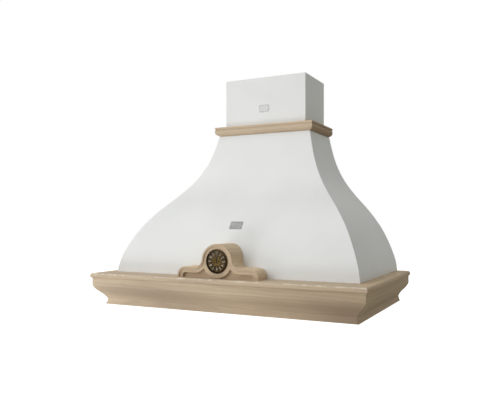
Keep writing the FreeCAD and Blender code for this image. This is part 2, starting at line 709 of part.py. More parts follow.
def make_flap(name, sign, knuckle_places):
    """Half-round flap on the side of the pin given by sign, with its knuckles on the pin."""
    low = FLAP_HINGE_Z - FLAP_THICK / 2
    reach = SPIGOT_BORE * math.cos(math.pi / BORE_SIDES) - FLAP_RIM_GAP
    disc = prism(V(0, DUCT_Y, low), UP, reach, FLAP_THICK, BORE_SIDES)
    near = FLAP_KNUCKLE_RADIUS + SLIDE_GAP
    far = SPIGOT_RADIUS
    y0, y1 = sorted((DUCT_Y + sign * near, DUCT_Y + sign * far))
    solids = [disc.common(box(-far, far, y0, y1, low, low + FLAP_THICK))]
    y0, y1 = sorted((DUCT_Y + sign * FLAP_PIN_RADIUS, DUCT_Y + sign * 2 * near))
    for x in knuckle_places:
        x0 = x - FLAP_KNUCKLE_LENGTH / 2
        x1 = x + FLAP_KNUCKLE_LENGTH / 2
        knuckle_start = V(x0, DUCT_Y, FLAP_HINGE_Z)
        solids.append(prism(knuckle_start, RIGHT, FLAP_KNUCKLE_RADIUS, FLAP_KNUCKLE_LENGTH, PIN_SIDES))
        solids.append(box(x0, x1, y0, y1, low, low + FLAP_THICK))
    bore_radius = around(FLAP_PIN_RADIUS + RUNNING_GAP, PIN_SIDES)
    keep(name, fuse(solids).cut(prism(V(-far, DUCT_Y, FLAP_HINGE_Z), RIGHT, bore_radius, 2 * far, PIN_SIDES)))


def make_gland():
    """Cable gland through the neck plate: a hexagon body with a threaded stem, and its nut below."""
    base = V(GLAND_X, GLAND_Y, NECK_Z)
    stem_foot = V(GLAND_X, GLAND_Y, NECK_Z - 2 * GLAND_NUT_HEIGHT)
    body = fuse([
        prism(base, UP, GLAND_RADIUS, GLAND_HEIGHT, SCREW_SIDES),
        prism(stem_foot, UP, GLAND_STEM_RADIUS, 2 * GLAND_NUT_HEIGHT, KNOB_SIDES),
    ])
    body = body.cut(rod(stem_foot, UP, GLAND_BORE_RADIUS, 2 * GLAND_NUT_HEIGHT + GLAND_HEIGHT))
    nut_foot = V(GLAND_X, GLAND_Y, NECK_Z - BELL_WALL - GLAND_NUT_HEIGHT)
    nut = prism(nut_foot, UP, GLAND_RADIUS, GLAND_NUT_HEIGHT, SCREW_SIDES)
    nut = nut.cut(rod(nut_foot, UP, GLAND_STEM_RADIUS, GLAND_NUT_HEIGHT))
    keep("cable_gland", Part.makeCompound([body, nut]))


# ================================================================ blower
BLOWER_Y = DUCT_Y - BLOWER_TO_DUCT
OUTLET_FRONT = DUCT_Y - SPIGOT_BORE - BLOWER_Y
OUTLET_BACK = DUCT_Y + SPIGOT_BORE - BLOWER_Y
SCROLL_HALF = SPIGOT_BORE
NECK_UNDERSIDE_Z = NECK_Z - BELL_WALL


def scroll_face(grown):
    """Side view of the spiral and its upright outlet, about the blower's axis, in (Y, Z)."""
    start_radius = SCROLL_START_RADIUS + grown
    end_radius = OUTLET_BACK + grown
    start_angle = math.acos((OUTLET_FRONT - grown) / start_radius)

    def spiral(share):
        angle = start_angle + share * (2 * math.pi - start_angle)
        radius = start_radius + share * (end_radius - start_radius)
        return V(0, BLOWER_Y + radius * math.cos(angle), BLOWER_Z + radius * math.sin(angle))

    outline = [spiral(step / SCROLL_FLATS) for step in range(SCROLL_FLATS + 1)]
    outline.append(V(0, BLOWER_Y + end_radius, NECK_UNDERSIDE_Z))
    outline.append(V(0, BLOWER_Y + OUTLET_FRONT - grown, NECK_UNDERSIDE_Z))
    return polygon(outline)


def make_scroll():
    outer_half = SCROLL_HALF + SCROLL_SHEET
    outer = scroll_face(SCROLL_SHEET).extrude(V(2 * outer_half, 0, 0))
    outer.translate(V(-outer_half, 0, 0))
    inner = scroll_face(0).extrude(V(2 * SCROLL_HALF, 0, 0))
    inner.translate(V(-SCROLL_HALF, 0, 0))
    inlet_start = V(-outer_half, BLOWER_Y, BLOWER_Z)
    inlets = prism(inlet_start, RIGHT, SCROLL_INLET_RADIUS, 2 * outer_half, INLET_SIDES)
    y0 = BLOWER_Y + OUTLET_FRONT
    y1 = BLOWER_Y + OUTLET_BACK
    low = NECK_UNDERSIDE_Z - SCROLL_SHEET
    lug = box(outer_half, outer_half + SCROLL_FLANGE, y0, y1, low, NECK_UNDERSIDE_Z)
    housing = fuse([outer.cut(inner).cut(inlets), lug, mirrored(lug)])
    keep("blower_scroll", housing.cut(neck_holes(low, NECK_UNDERSIDE_Z)))


def blade(turn):
    """One forward-leaning blade between the inner and outer radius of the wheel."""
    inner = IMPELLER_RADIUS - IMPELLER_BLADE_DEPTH + IMPELLER_SHEET
    outer = IMPELLER_RADIUS - IMPELLER_SHEET
    half = BLADE_THICK / 2
    x = IMPELLER_SHEET - IMPELLER_HALF_WIDTH
    corners = [
        V(x, inner, -half),
        V(x, outer, BLADE_LEAN - half),
        V(x, outer, BLADE_LEAN + half),
        V(x, inner, half),
    ]
    solid = polygon(corners).extrude(V(-2 * x, 0, 0))
    solid.rotate(V(0, 0, 0), RIGHT, turn)
    return solid


def make_impeller():
    """Double-inlet wheel: a middle disc and hub, two end rings and a ring of leaning blades."""
    half_sheet = IMPELLER_SHEET / 2
    disc = prism(V(-half_sheet, 0, 0), RIGHT, IMPELLER_RADIUS, IMPELLER_SHEET, IMPELLER_SIDES)
    hub = prism(V(1 - MOTOR_TO_DISC, 0, 0), RIGHT, IMPELLER_HUB_RADIUS, 2 * MOTOR_TO_DISC, HUB_SIDES)
    inner = IMPELLER_RADIUS - IMPELLER_BLADE_DEPTH
    ring_start = V(-IMPELLER_HALF_WIDTH, 0, 0)
    ring = prism(ring_start, RIGHT, IMPELLER_RADIUS, IMPELLER_SHEET, IMPELLER_SIDES)
    ring = ring.cut(prism(ring_start, RIGHT, inner, IMPELLER_SHEET, IMPELLER_SIDES))
    blades = [blade(index * 360.0 / IMPELLER_BLADES) for index in range(IMPELLER_BLADES)]
    bore_radius = around(SHAFT_RADIUS, HUB_SIDES)
    wheel = disc.multiFuse([hub, ring, mirrored(ring)] + blades)
    wheel = wheel.cut(prism(V(-MOTOR_TO_DISC, 0, 0), RIGHT, bore_radius, 4 * MOTOR_TO_DISC, HUB_SIDES))
    wheel = wheel.removeSplitter()
    wheel.translate(V(0, BLOWER_Y, BLOWER_Z))
    keep("impeller", wheel)


def make_motor():
    outer_half = SCROLL_HALF + SCROLL_SHEET
    length = outer_half - MOTOR_TO_DISC
    start = V(-outer_half, BLOWER_Y, BLOWER_Z)
    body = prism(start, RIGHT, MOTOR_RADIUS, length, INLET_SIDES)
    shaft_start = V(-outer_half + length / 2, BLOWER_Y, BLOWER_Z)
    bore_radius = around(SHAFT_RADIUS + RUNNING_GAP, HUB_SIDES)
    body = body.cut(prism(shaft_start, RIGHT, bore_radius, length, HUB_SIDES))
    keep("blower_motor", body)
    shaft_length = length / 2 + 2 * MOTOR_TO_DISC
    keep("motor_shaft", rod(shaft_start + V(SLIDE_GAP, 0, 0), RIGHT, SHAFT_RADIUS, shaft_length))
    reach = SCROLL_INLET_RADIUS + MOTOR_ARM_WIDTH
    hub = prism(start, -RIGHT, MOTOR_RADIUS * 0.6, MOTOR_ARM_THICK, HUB_SIDES)
    spider = [hub]
    for index in range(3):
        arm = box(-MOTOR_ARM_THICK, 0, 0, reach, -MOTOR_ARM_WIDTH / 2, MOTOR_ARM_WIDTH / 2)
        arm.rotate(V(0, 0, 0), RIGHT, 90 + 120 * index)
        arm.translate(start)
        spider.append(arm)
    keep("motor_bracket", fuse(spider))


# ================================================================ underside pan and filters
FRONT_STRIP_Y = PAN_WALL_FRONT_Y + FRONT_STRIP / 2
FILTER_REAR_Y = PAN_WALL_BACK_Y - FILTER_REAR_STRIP
FILTER_FRONT_Y = PAN_WALL_FRONT_Y + FRONT_STRIP + FILTER_EDGE_GAP
FILTER_WIDTH = PAN_WALL_X - FILTER_SIDE_STRIP - FILTER_MIDDLE_GAP / 2
FILTER_X = (FILTER_WIDTH + FILTER_MIDDLE_GAP) / 2
LAMP_X = PAN_WALL_X - LAMP_SIDE_INSET
PAN_TOP_Z = PAN_FACE_Z + PAN_SHEET
PAN_LIP = PAN_SHEET / 2
BUTTON_PLACES = [(index - (BUTTON_COUNT - 1) / 2) * BUTTON_PITCH for index in range(BUTTON_COUNT)]
PAN_HALF = CAVITY_HALF - SLIDE_GAP
PAN_FRONT_Y = CAVITY_FRONT_Y + SLIDE_GAP
PAN_BACK_Y = -RAIL_THICK - SLIDE_GAP


def lamp_block(side, length, width, low, high):
    """A block centred on one lamp."""
    x = side * LAMP_X
    y = FRONT_STRIP_Y
    return box(x - length / 2, x + length / 2, y - width / 2, y + width / 2, low, high)


def make_pan():
    """Folded tray that closes the underside: a face, four upstands and their inward flanges."""
    face = box(-PAN_HALF, PAN_HALF, PAN_FRONT_Y, PAN_BACK_Y, PAN_FACE_Z, PAN_TOP_Z)
    for side in (-1, 1):
        x0 = side * FILTER_X - FILTER_WIDTH / 2
        mouth_y = FILTER_FRONT_Y - FILTER_EDGE_GAP
        lip_y = FILTER_REAR_Y + FILTER_EDGE_GAP + PAN_LIP
        face = face.cut(box(x0, x0 + FILTER_WIDTH, mouth_y, lip_y, PAN_FACE_Z, PAN_TOP_Z))
        face = face.fuse(rod(V(x0, lip_y, PAN_FACE_Z + PAN_LIP), RIGHT, PAN_LIP, FILTER_WIDTH))
        room = LAMP_STEP - 2 * SLIDE_GAP
        face = face.cut(lamp_block(side, LAMP_LENGTH - room, LAMP_WIDTH - room, PAN_FACE_Z, PAN_TOP_Z))
    slot_half = BUTTON_PLACES[-1] + BUTTON_WIDTH / 2 + BUTTON_ROOM
    slot_y0 = FRONT_STRIP_Y - BUTTON_DEPTH / 2 - BUTTON_ROOM
    slot_y1 = FRONT_STRIP_Y + BUTTON_DEPTH / 2 + BUTTON_ROOM
    face = face.cut(box(-slot_half, slot_half, slot_y0, slot_y1, PAN_FACE_Z, PAN_TOP_Z))
    walls = box(-PAN_WALL_X, PAN_WALL_X, PAN_WALL_FRONT_Y, PAN_WALL_BACK_Y, PAN_FACE_Z, MOULD_HEIGHT)
    sheet = PAN_SHEET
    hollow = box(-PAN_WALL_X + sheet, PAN_WALL_X - sheet, PAN_WALL_FRONT_Y + sheet, PAN_WALL_BACK_Y - sheet,
                 PAN_FACE_Z, MOULD_HEIGHT - sheet)
    way_out = box(-PAN_WALL_X + PAN_FLANGE, PAN_WALL_X - PAN_FLANGE, PAN_WALL_FRONT_Y + PAN_FLANGE,
                  PAN_WALL_BACK_Y - PAN_FLANGE, PAN_FACE_Z, MOULD_HEIGHT)
    tray = fuse([face, walls.cut(hollow).cut(way_out)])
    holes = [screw_hole(x, y, MOULD_HEIGHT - sheet, MOULD_HEIGHT, HOLE_GAP) for x, y in PAN_SCREW_SITES]
    keep("canopy_pan", tray.cut(Part.makeCompound(holes)))


def make_screws():
    seat = MOULD_HEIGHT - PAN_SHEET
    keep("pan_screws", Part.makeCompound([screw(x, y, seat, UP, SCREW_BITE) for x, y in PAN_SCREW_SITES]))
    seat = BOARD_TOP_Z + BELL_WALL
    keep("bell_screws", Part.makeCompound([screw(x, y, seat, -UP, SCREW_BITE) for x, y in BELL_SCREW_SITES]))
    seat = MOULD_HEIGHT
    reach = BOARD_THICK + SCREW_BITE
    keep("clock_screws", Part.makeCompound([screw(x, y, seat, UP, reach) for x, y in CLOCK_SCREW_SITES]))


def baffle(x, low, opens_up):
    """One channel-shaped baffle, its two lips turned up or down."""
    length_front = FILTER_FRONT_Y + FILTER_FRONT_BAR
    length_back = FILTER_REAR_Y - FILTER_FRAME_BAR
    high = low + BAFFLE_LIP
    half = BAFFLE_WIDTH / 2
    outer = box(x - half, x + half, length_front, length_back, low, high)
    if opens_up:
        hollow = box(x - half + BAFFLE_SHEET, x + half - BAFFLE_SHEET, length_front, length_back,
                     low + BAFFLE_SHEET, high)
    else:
        hollow = box(x - half + BAFFLE_SHEET, x + half - BAFFLE_SHEET, length_front, length_back,
                     low, high - BAFFLE_SHEET)
    return outer.cut(hollow)


LATCH_PLATE_LOW = PAN_TOP_Z + SEAT_GAP
LATCH_Y = FILTER_FRONT_Y + LATCH_SETBACK


def make_filter(name, x):
    """Baffle filter: a frame, two staggered layers of channels and two hooking tabs at the rear."""
    half = FILTER_WIDTH / 2 - FILTER_EDGE_GAP
    low = PAN_FACE_Z
    high = PAN_FACE_Z + FILTER_HEIGHT
    frame = box(x - half, x + half, FILTER_FRONT_Y, FILTER_REAR_Y, low, high)
    window = box(x - half + FILTER_FRAME_BAR, x + half - FILTER_FRAME_BAR, FILTER_FRONT_Y + FILTER_FRONT_BAR,
                 FILTER_REAR_Y - FILTER_FRAME_BAR, low, high)
    frame = frame.cut(window)
    grip_half = LATCH_GRIP_WIDTH / 2 + SLIDE_GAP
    plate_half = LATCH_WIDTH / 2 + SLIDE_GAP
    back = LATCH_Y + LATCH_DEPTH + LATCH_TRAVEL + SLIDE_GAP
    frame = frame.cut(box(x - grip_half, x + grip_half, LATCH_Y, back, low, high - BAFFLE_SHEET))
    plate_low = LATCH_PLATE_LOW - SLIDE_GAP
    plate_high = LATCH_PLATE_LOW + LATCH_PLATE + SLIDE_GAP
    frame = frame.cut(box(x - plate_half, x + plate_half, LATCH_Y, back, plate_low, plate_high))
    slot_half = LATCH_TONGUE_WIDTH / 2 + SLIDE_GAP
    frame = frame.cut(box(x - slot_half, x + slot_half, FILTER_FRONT_Y, LATCH_Y, plate_low, plate_high))
    solids = [frame]
    tab_low = PAN_TOP_Z + SEAT_GAP / 2
    tab_half = FILTER_TAB_WIDTH / 2
    tab_end_y = FILTER_REAR_Y + FILTER_TAB_LENGTH
    tab_high = tab_low + FILTER_TAB_THICK
    for place in (x - FILTER_TAB_SPACING / 2, x + FILTER_TAB_SPACING / 2):
        solids.append(box(place - tab_half, place + tab_half, FILTER_REAR_Y, tab_end_y, tab_low, tab_high))
    frame = fuse(solids)
    inner_width = 2 * (half - FILTER_FRAME_BAR)
    pitch = inner_width / BAFFLE_COUNT
    first = x - inner_width / 2 + pitch / 2
    lower = [baffle(first + index * pitch, low, True) for index in range(BAFFLE_COUNT)]
    upper_low = high - BAFFLE_LIP
    upper = [baffle(first + (index + 0.5) * pitch, upper_low, False) for index in range(BAFFLE_COUNT - 1)]
    keep(name, Part.makeCompound([frame] + lower + upper))


def make_latch(name, x):
    """Sliding catch: a plate with a tongue over the pan's lip and a grip that a finger pulls back."""
    front = LATCH_Y + SLIDE_GAP
    back = LATCH_Y + LATCH_DEPTH
    low = LATCH_PLATE_LOW
    high = LATCH_PLATE_LOW + LATCH_PLATE
    grip_foot = PAN_FACE_Z - LATCH_GRIP_DROP
    tongue_tip = FILTER_FRONT_Y - FILTER_EDGE_GAP - LATCH_HOLD
    tongue_root = LATCH_Y + LATCH_DEPTH / 2
    plate = box(x - LATCH_WIDTH / 2, x + LATCH_WIDTH / 2, front, back, low, high)
    tongue = box(x - LATCH_TONGUE_WIDTH / 2, x + LATCH_TONGUE_WIDTH / 2, tongue_tip, tongue_root, low, high)
    grip = box(x - LATCH_GRIP_WIDTH / 2, x + LATCH_GRIP_WIDTH / 2, front, back, grip_foot, low)
    scoop = rod(V(x - LATCH_GRIP_WIDTH, back, grip_foot), RIGHT, LATCH_GRIP_DROP, 2 * LATCH_GRIP_WIDTH)
    keep(name, fuse([plate, tongue, grip.cut(scoop)]))


# ================================================================ lamps, controls and wiring box
def make_lamps():
    """Two flat lamp bars: a bezel under the pan, a closed body above it and a lens let into the bezel."""
    bodies = []
    lenses = []
    low = PAN_FACE_Z - LAMP_DROP
    lens_low = low + LAMP_DROP - LAMP_LENS_THICK
    for side in (-1, 1):
        rim = lamp_block(side, LAMP_LENGTH, LAMP_WIDTH, low, PAN_FACE_Z)
        pocket = lamp_block(side, LAMP_LENGTH - LAMP_RIM, LAMP_WIDTH - LAMP_RIM, low, PAN_FACE_Z)
        casing = lamp_block(side, LAMP_LENGTH - LAMP_STEP, LAMP_WIDTH - LAMP_STEP, PAN_FACE_Z,
                            PAN_FACE_Z + LAMP_BODY_HEIGHT)
        bodies.append(fuse([rim.cut(pocket), casing]))
        lenses.append(lamp_block(side, LAMP_LENGTH - LAMP_RIM, LAMP_WIDTH - LAMP_RIM, lens_low, PAN_FACE_Z))
    keep("lamp_bodies", Part.makeCompound(bodies))
    keep("lamp_lenses", Part.makeCompound(lenses))


def make_controls():
    half_length = CONTROL_LENGTH / 2
    y0 = FRONT_STRIP_Y - CONTROL_WIDTH / 2
    y1 = FRONT_STRIP_Y + CONTROL_WIDTH / 2
    low = PAN_FACE_Z - CONTROL_DROP
    fascia = box(-half_length, half_length, y0, y1, low, PAN_FACE_Z)
    fascia_corners = [edge for edge in fascia.Edges if edge.BoundBox.ZLength > CONTROL_DROP / 2]
    fascia = fascia.makeChamfer(CONTROL_CORNER, fascia_corners)
    switch_box = box(-half_length, half_length, y0, y1, PAN_TOP_Z, PAN_TOP_Z + SWITCH_BOX_HEIGHT)
    well = BUTTON_LENGTH - BUTTON_PROUD + BUTTON_TRAVEL + BUTTON_ROOM
    half_width = BUTTON_WIDTH / 2
    half_depth = BUTTON_DEPTH / 2
    room_x = half_width + SLIDE_GAP
    room_y = half_depth + SLIDE_GAP
    for index, x in enumerate(BUTTON_PLACES):
        way = box(x - room_x, x + room_x, FRONT_STRIP_Y - room_y, FRONT_STRIP_Y + room_y, low, low + well)
        fascia = fascia.cut(way)
        switch_box = switch_box.cut(way)
        foot = low - BUTTON_PROUD
        button = box(x - half_width, x + half_width, FRONT_STRIP_Y - half_depth, FRONT_STRIP_Y + half_depth,
                     foot, foot + BUTTON_LENGTH)
        rim = [edge for edge in button.Edges if edge.BoundBox.ZMax < foot + BUTTON_PROUD / 2]
        keep("button_%d" % (index + 1), button.makeChamfer(BUTTON_CHAMFER, rim))
    keep("control_fascia", fascia)
    keep("switch_box", switch_box)


def make_junction_box():
    x0 = JUNCTION_X
    y1 = -BELL_WALL
    z0 = JUNCTION_Z
    casing = box(x0, x0 + JUNCTION_WIDTH, y1 - JUNCTION_DEPTH, y1, z0, z0 + JUNCTION_HEIGHT)
    upright = [edge for edge in casing.Edges if edge.BoundBox.YLength > JUNCTION_DEPTH / 2]
    keep("junction_box", casing.makeChamfer(JUNCTION_CHAMFER, upright))


# ================================================================ shelf clock
CLOCK_CENTRE_Z = BOARD_TOP_Z + CLOCK_CENTRE_HEIGHT
CLOCK_FRONT_Y = -DEPTH + CLOCK_SETBACK
CLOCK_DEPTH = SHELF_FRONT - CLOCK_SETBACK - CLOCK_BELL_GAP
CLOCK_FACE_Y = CLOCK_FRONT_Y + CLOCK_RIM_PROUD


def clock_outline(inset):
    """Half-drum between two low wings, every radius shifted by the same inset."""
    drum = CLOCK_DRUM_RADIUS - inset
    sweep = CLOCK_SWEEP_RADIUS + inset
    shoulder = CLOCK_SHOULDER_RADIUS - inset
    wing_z = BOARD_TOP_Z + CLOCK_WING_HEIGHT
    sweep_z = wing_z + CLOCK_SWEEP_RADIUS
    rise = sweep_z - CLOCK_CENTRE_Z
    sweep_x = math.sqrt((CLOCK_DRUM_RADIUS + CLOCK_SWEEP_RADIUS) ** 2 - rise ** 2)
    shoulder_x = CLOCK_FOOT_HALF - CLOCK_SHOULDER_RADIUS
    shoulder_z = wing_z - CLOCK_SHOULDER_RADIUS
    join = math.atan2(rise, sweep_x)

    def at(cx, cz, radius, angle):
        return V(cx + radius * math.cos(angle), 0, cz + radius * math.sin(angle))

    drum_end = at(0, CLOCK_CENTRE_Z, drum, join)
    sweep_middle = at(sweep_x, sweep_z, sweep, (math.pi + join + 1.5 * math.pi) / 2)
    wing_inner = V(sweep_x, 0, wing_z - inset)
    wing_outer = V(shoulder_x, 0, wing_z - inset)
    shoulder_middle = at(shoulder_x, shoulder_z, shoulder, math.pi / 4)
    shoulder_end = V(CLOCK_FOOT_HALF - inset, 0, shoulder_z)
    foot = V(CLOCK_FOOT_HALF - inset, 0, BOARD_TOP_Z)

    def flip(point):
        return V(-point.x, point.y, point.z)

    edges = []
    for side in (lambda point: point, flip):
        edges.append(line(side(foot), side(shoulder_end)))
        edges.append(arc(side(shoulder_end), side(shoulder_middle), side(wing_outer)))
        edges.append(line(side(wing_outer), side(wing_inner)))
        edges.append(arc(side(wing_inner), side(sweep_middle), side(drum_end)))
    edges.append(arc(drum_end, V(0, 0, CLOCK_CENTRE_Z + drum), flip(drum_end)))
    edges.append(line(foot, flip(foot)))
    return face_of(edges)


def clock_slice(inset, front, depth):
    solid = clock_outline(inset).extrude(V(0, depth, 0))
    solid.translate(V(0, front, 0))
    return solid


def make_clock_case():
    body = clock_slice(0, CLOCK_FRONT_Y, CLOCK_DEPTH)
    body = body.cut(clock_slice(CLOCK_RIM, CLOCK_FRONT_Y, CLOCK_RIM_PROUD))
    centre = V(0, CLOCK_FACE_Y, CLOCK_CENTRE_Z)
    pockets = clock_slice(CLOCK_BAND, CLOCK_FACE_Y, CLOCK_POCKET_DEPTH)
    pockets = pockets.cut(rod(centre, BACK, CLOCK_BOSS_RADIUS, CLOCK_POCKET_DEPTH))
    body = body.cut(pockets)
    body = body.cut(prism(centre, BACK, INSERT_RADIUS + SLIDE_GAP, CLOCK_DEPTH, BORE_SIDES))
    for x, y in CLOCK_SCREW_SITES:
        body = body.cut(screw_hole(x, y, BOARD_TOP_Z, BOARD_TOP_Z + SCREW_BITE, PILOT_GAP))
    keep("clock_case", body)


def make_clock_insert():
    """Round clock that pushes into the case: housing, bezel, dial, glass, hands and movement."""
    seat_y = CLOCK_FACE_Y - SEAT_GAP
    centre = V(0, seat_y, CLOCK_CENTRE_Z)
    flange = prism(centre, -BACK, INSERT_FLANGE_RADIUS, INSERT_FLANGE_THICK, BORE_SIDES)
    cup = prism(centre, BACK, INSERT_RADIUS, INSERT_LENGTH, BORE_SIDES)
    well = MOVEMENT_SIZE / 2 + RUNNING_GAP
    centre_z = CLOCK_CENTRE_Z
    hollow = box(-well, well, seat_y - INSERT_FLANGE_THICK, seat_y + INSERT_LENGTH - INSERT_WALL,
                 centre_z - well, centre_z + well)
    knob_way = prism(V(0, seat_y, centre_z), BACK, KNOB_RADIUS + INSERT_WALL, INSERT_LENGTH, KNOB_SIDES)
    keep("clock_housing", fuse([flange, cup]).cut(hollow).cut(knob_way))

    dial_back = seat_y - INSERT_FLANGE_THICK
    dial_front = dial_back - DIAL_THICK
    dial_start = V(0, dial_front, CLOCK_CENTRE_Z)
    dial = prism(dial_start, BACK, BEZEL_OPENING, DIAL_THICK, BORE_SIDES)
    hole_radius = around(HOUR_PIPE_RADIUS + SLIDE_GAP, KNOB_SIDES)
    centre_hole = prism(dial_start, BACK, hole_radius, DIAL_THICK, KNOB_SIDES)
    keep("clock_dial", dial.cut(centre_hole))

    bezel_front = V(0, dial_back - BEZEL_HEIGHT, CLOCK_CENTRE_Z)
    bezel = tube(bezel_front, BACK, BEZEL_RADIUS, BEZEL_OPENING, BEZEL_HEIGHT)
    slope_foot = BEZEL_HEIGHT - BEZEL_SIDE
    slope = Part.makeCone(BEZEL_OPENING, BEZEL_RADIUS, slope_foot, bezel_front, BACK)
    straight = rod(bezel_front + V(0, slope_foot, 0), BACK, BEZEL_RADIUS, BEZEL_SIDE)
    keep("clock_bezel", bezel.common(slope.fuse(straight)))
    lens_front = V(0, bezel_front.y + LENS_THICK, CLOCK_CENTRE_Z)
    keep("clock_glass", prism(lens_front, BACK, BEZEL_OPENING, LENS_THICK, BORE_SIDES))

    hour_back = dial_front - HAND_GAP
    hour_front = hour_back - HAND_THICK
    minute_back = hour_front - HAND_GAP
    minute_front = minute_back - HAND_THICK
    movement_front = dial_back
    keep("hour_hand", hour_hand(hour_front, movement_front))
    keep("minute_hand", minute_hand(minute_front, movement_front))
    keep("clock_movement", movement(movement_front, seat_y))


def hand_blade(front, length, width):
    """Spade-like hand pointing up: a tapered leaf on a round boss."""
    top = CLOCK_CENTRE_Z + length
    leaf = [
        V(-width * 0.3, front, CLOCK_CENTRE_Z),
        V(width * 0.3, front, CLOCK_CENTRE_Z),
        V(width / 2, front, CLOCK_CENTRE_Z + length * 0.7),
        V(0, front, top),
        V(-width / 2, front, CLOCK_CENTRE_Z + length * 0.7),
    ]
    boss = prism(V(0, front, CLOCK_CENTRE_Z), BACK, HOUR_PIPE_RADIUS + HAND_BOSS, HAND_THICK, KNOB_SIDES)
    return fuse([polygon(leaf).extrude(V(0, HAND_THICK, 0)), boss])


def hour_hand(front, movement_front):
    pipe_length = movement_front - front + MOVEMENT_DEPTH / 4
    pipe = rod(V(0, front, CLOCK_CENTRE_Z), BACK, HOUR_PIPE_RADIUS, pipe_length)
    hand = fuse([hand_blade(front, HOUR_HAND_LENGTH, HOUR_HAND_WIDTH), pipe])
    bore_radius = around(ARBOR_RADIUS + RUNNING_GAP, KNOB_SIDES)
    bore = prism(V(0, front, CLOCK_CENTRE_Z), BACK, bore_radius, pipe_length, KNOB_SIDES)
    return hand.cut(bore)


KNOB_FRONT_Y = CLOCK_FACE_Y - SEAT_GAP + INSERT_LENGTH + SLIDE_GAP


def minute_hand(front, movement_front):
    """Minute hand on its arbor, which runs back through the movement to the setting knob."""
    arbor = rod(V(0, front, CLOCK_CENTRE_Z), BACK, ARBOR_RADIUS, KNOB_FRONT_Y + KNOB_LENGTH - front)
    knob = prism(V(0, KNOB_FRONT_Y, CLOCK_CENTRE_Z), BACK, KNOB_RADIUS, KNOB_LENGTH, KNOB_SIDES)
    return fuse([hand_blade(front, MINUTE_HAND_LENGTH, MINUTE_HAND_WIDTH), arbor, knob])


def movement(front, seat_y):
    half = MOVEMENT_SIZE / 2
    back = seat_y + INSERT_LENGTH - INSERT_WALL
    body = box(-half, half, front, back, CLOCK_CENTRE_Z - half, CLOCK_CENTRE_Z + half)
    centre = V(0, front, CLOCK_CENTRE_Z)
    arbor_way = around(ARBOR_RADIUS + RUNNING_GAP, KNOB_SIDES)
    pipe_way = around(HOUR_PIPE_RADIUS + RUNNING_GAP, KNOB_SIDES)
    body = body.cut(prism(centre, BACK, arbor_way, back - front, KNOB_SIDES))
    return body.cut(prism(centre, BACK, pipe_way, MOVEMENT_DEPTH / 4 + SLIDE_GAP, KNOB_SIDES))


# ================================================================ build and write
def main():
    make_cornice()
    make_glue_blocks()
    inside = make_bell()
    make_neck_plate(inside)
    make_neck_ring()
    make_chimney()
    make_spigot()
    outer_knuckles = 2 * FLAP_KNUCKLE_LENGTH
    inner_knuckle = FLAP_KNUCKLE_LENGTH
    make_flap("flap_front", -1, (-outer_knuckles, outer_knuckles))
    make_flap("flap_rear", 1, (-inner_knuckle / 2 - 1, inner_knuckle / 2 + 1))
    make_gland()
    make_scroll()
    make_impeller()
    make_motor()
    make_pan()
    make_screws()
    make_filter("filter_left", -FILTER_X)
    make_filter("filter_right", FILTER_X)
    make_latch("latch_left", -FILTER_X)
    make_latch("latch_right", FILTER_X)
    make_lamps()
    make_controls()
    make_junction_box()
    make_clock_case()
    make_clock_insert()
    for name, shape in parts.items():
        shape.translate(V(0, 0, -HANG_HEIGHT))
        shape.exportStep("parts/" + name + ".step")
        summary = (name, len(shape.Solids), shape.Volume, shape.isValid())
        print("%-26s solids %2d  volume %12.1f  valid %s" % summary)


main()
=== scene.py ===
# %% [markdown]
# # A rustic cooker hood: painted steel bell, raw ash mouldings and a small mantel clock
# The hood's construction arrives as a finished frame: every panel, moulding, screw and moving part is
# already there at its real size. This notebook gives each of them a finish, adds the small pieces that the
# frame leaves plain (the clock's face, two plates, the marks on the buttons) and one that it lacks (the
# back of the clock case), and lights the whole for one photograph.

import math

import bmesh
import bpy
from mathutils import Matrix, Vector
from mathutils.bvhtree import BVHTree


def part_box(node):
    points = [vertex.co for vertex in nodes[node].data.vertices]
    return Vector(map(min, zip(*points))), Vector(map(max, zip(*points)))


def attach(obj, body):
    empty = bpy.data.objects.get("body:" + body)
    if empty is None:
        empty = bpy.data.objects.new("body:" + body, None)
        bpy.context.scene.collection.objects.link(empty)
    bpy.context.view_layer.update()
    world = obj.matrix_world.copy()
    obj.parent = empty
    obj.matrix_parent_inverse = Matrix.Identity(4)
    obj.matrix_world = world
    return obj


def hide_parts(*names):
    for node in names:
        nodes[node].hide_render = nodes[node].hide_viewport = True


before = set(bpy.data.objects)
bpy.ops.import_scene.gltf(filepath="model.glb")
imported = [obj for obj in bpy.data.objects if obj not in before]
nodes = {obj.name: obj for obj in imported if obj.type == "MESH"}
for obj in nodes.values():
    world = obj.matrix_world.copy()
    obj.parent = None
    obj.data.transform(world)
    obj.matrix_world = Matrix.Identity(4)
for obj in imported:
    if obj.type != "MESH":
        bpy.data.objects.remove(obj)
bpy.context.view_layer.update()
scene = bpy.context.scene
print("nodes in the frame:", len(nodes))

# %% [markdown]
# ## The camera
# The picture is taken level, to the right of the hood and about at the height of its cornice, so upright
# edges stay upright. The camera's place and lens were fitted to where the hood's corners stand in the
# picture, for a hood 900 mm wide. The fit hardly tells one depth from another; 500 mm is a choice. A view
# camera slides its lens instead of tilting, which is what the two small shift values do.

# %% Camera
MM = 0.001
CAMERA_PLACE = Vector((827.5, -1820.2, -52.2)) * MM
CAMERA_TURN = math.radians(25.06)
FOCAL_PIXELS = 550.3
PICTURE_WIDTH = 500
PICTURE_HEIGHT = 400
OPTICAL_CENTRE = (279.6, 219.5)
SENSOR_WIDTH_MM = 36

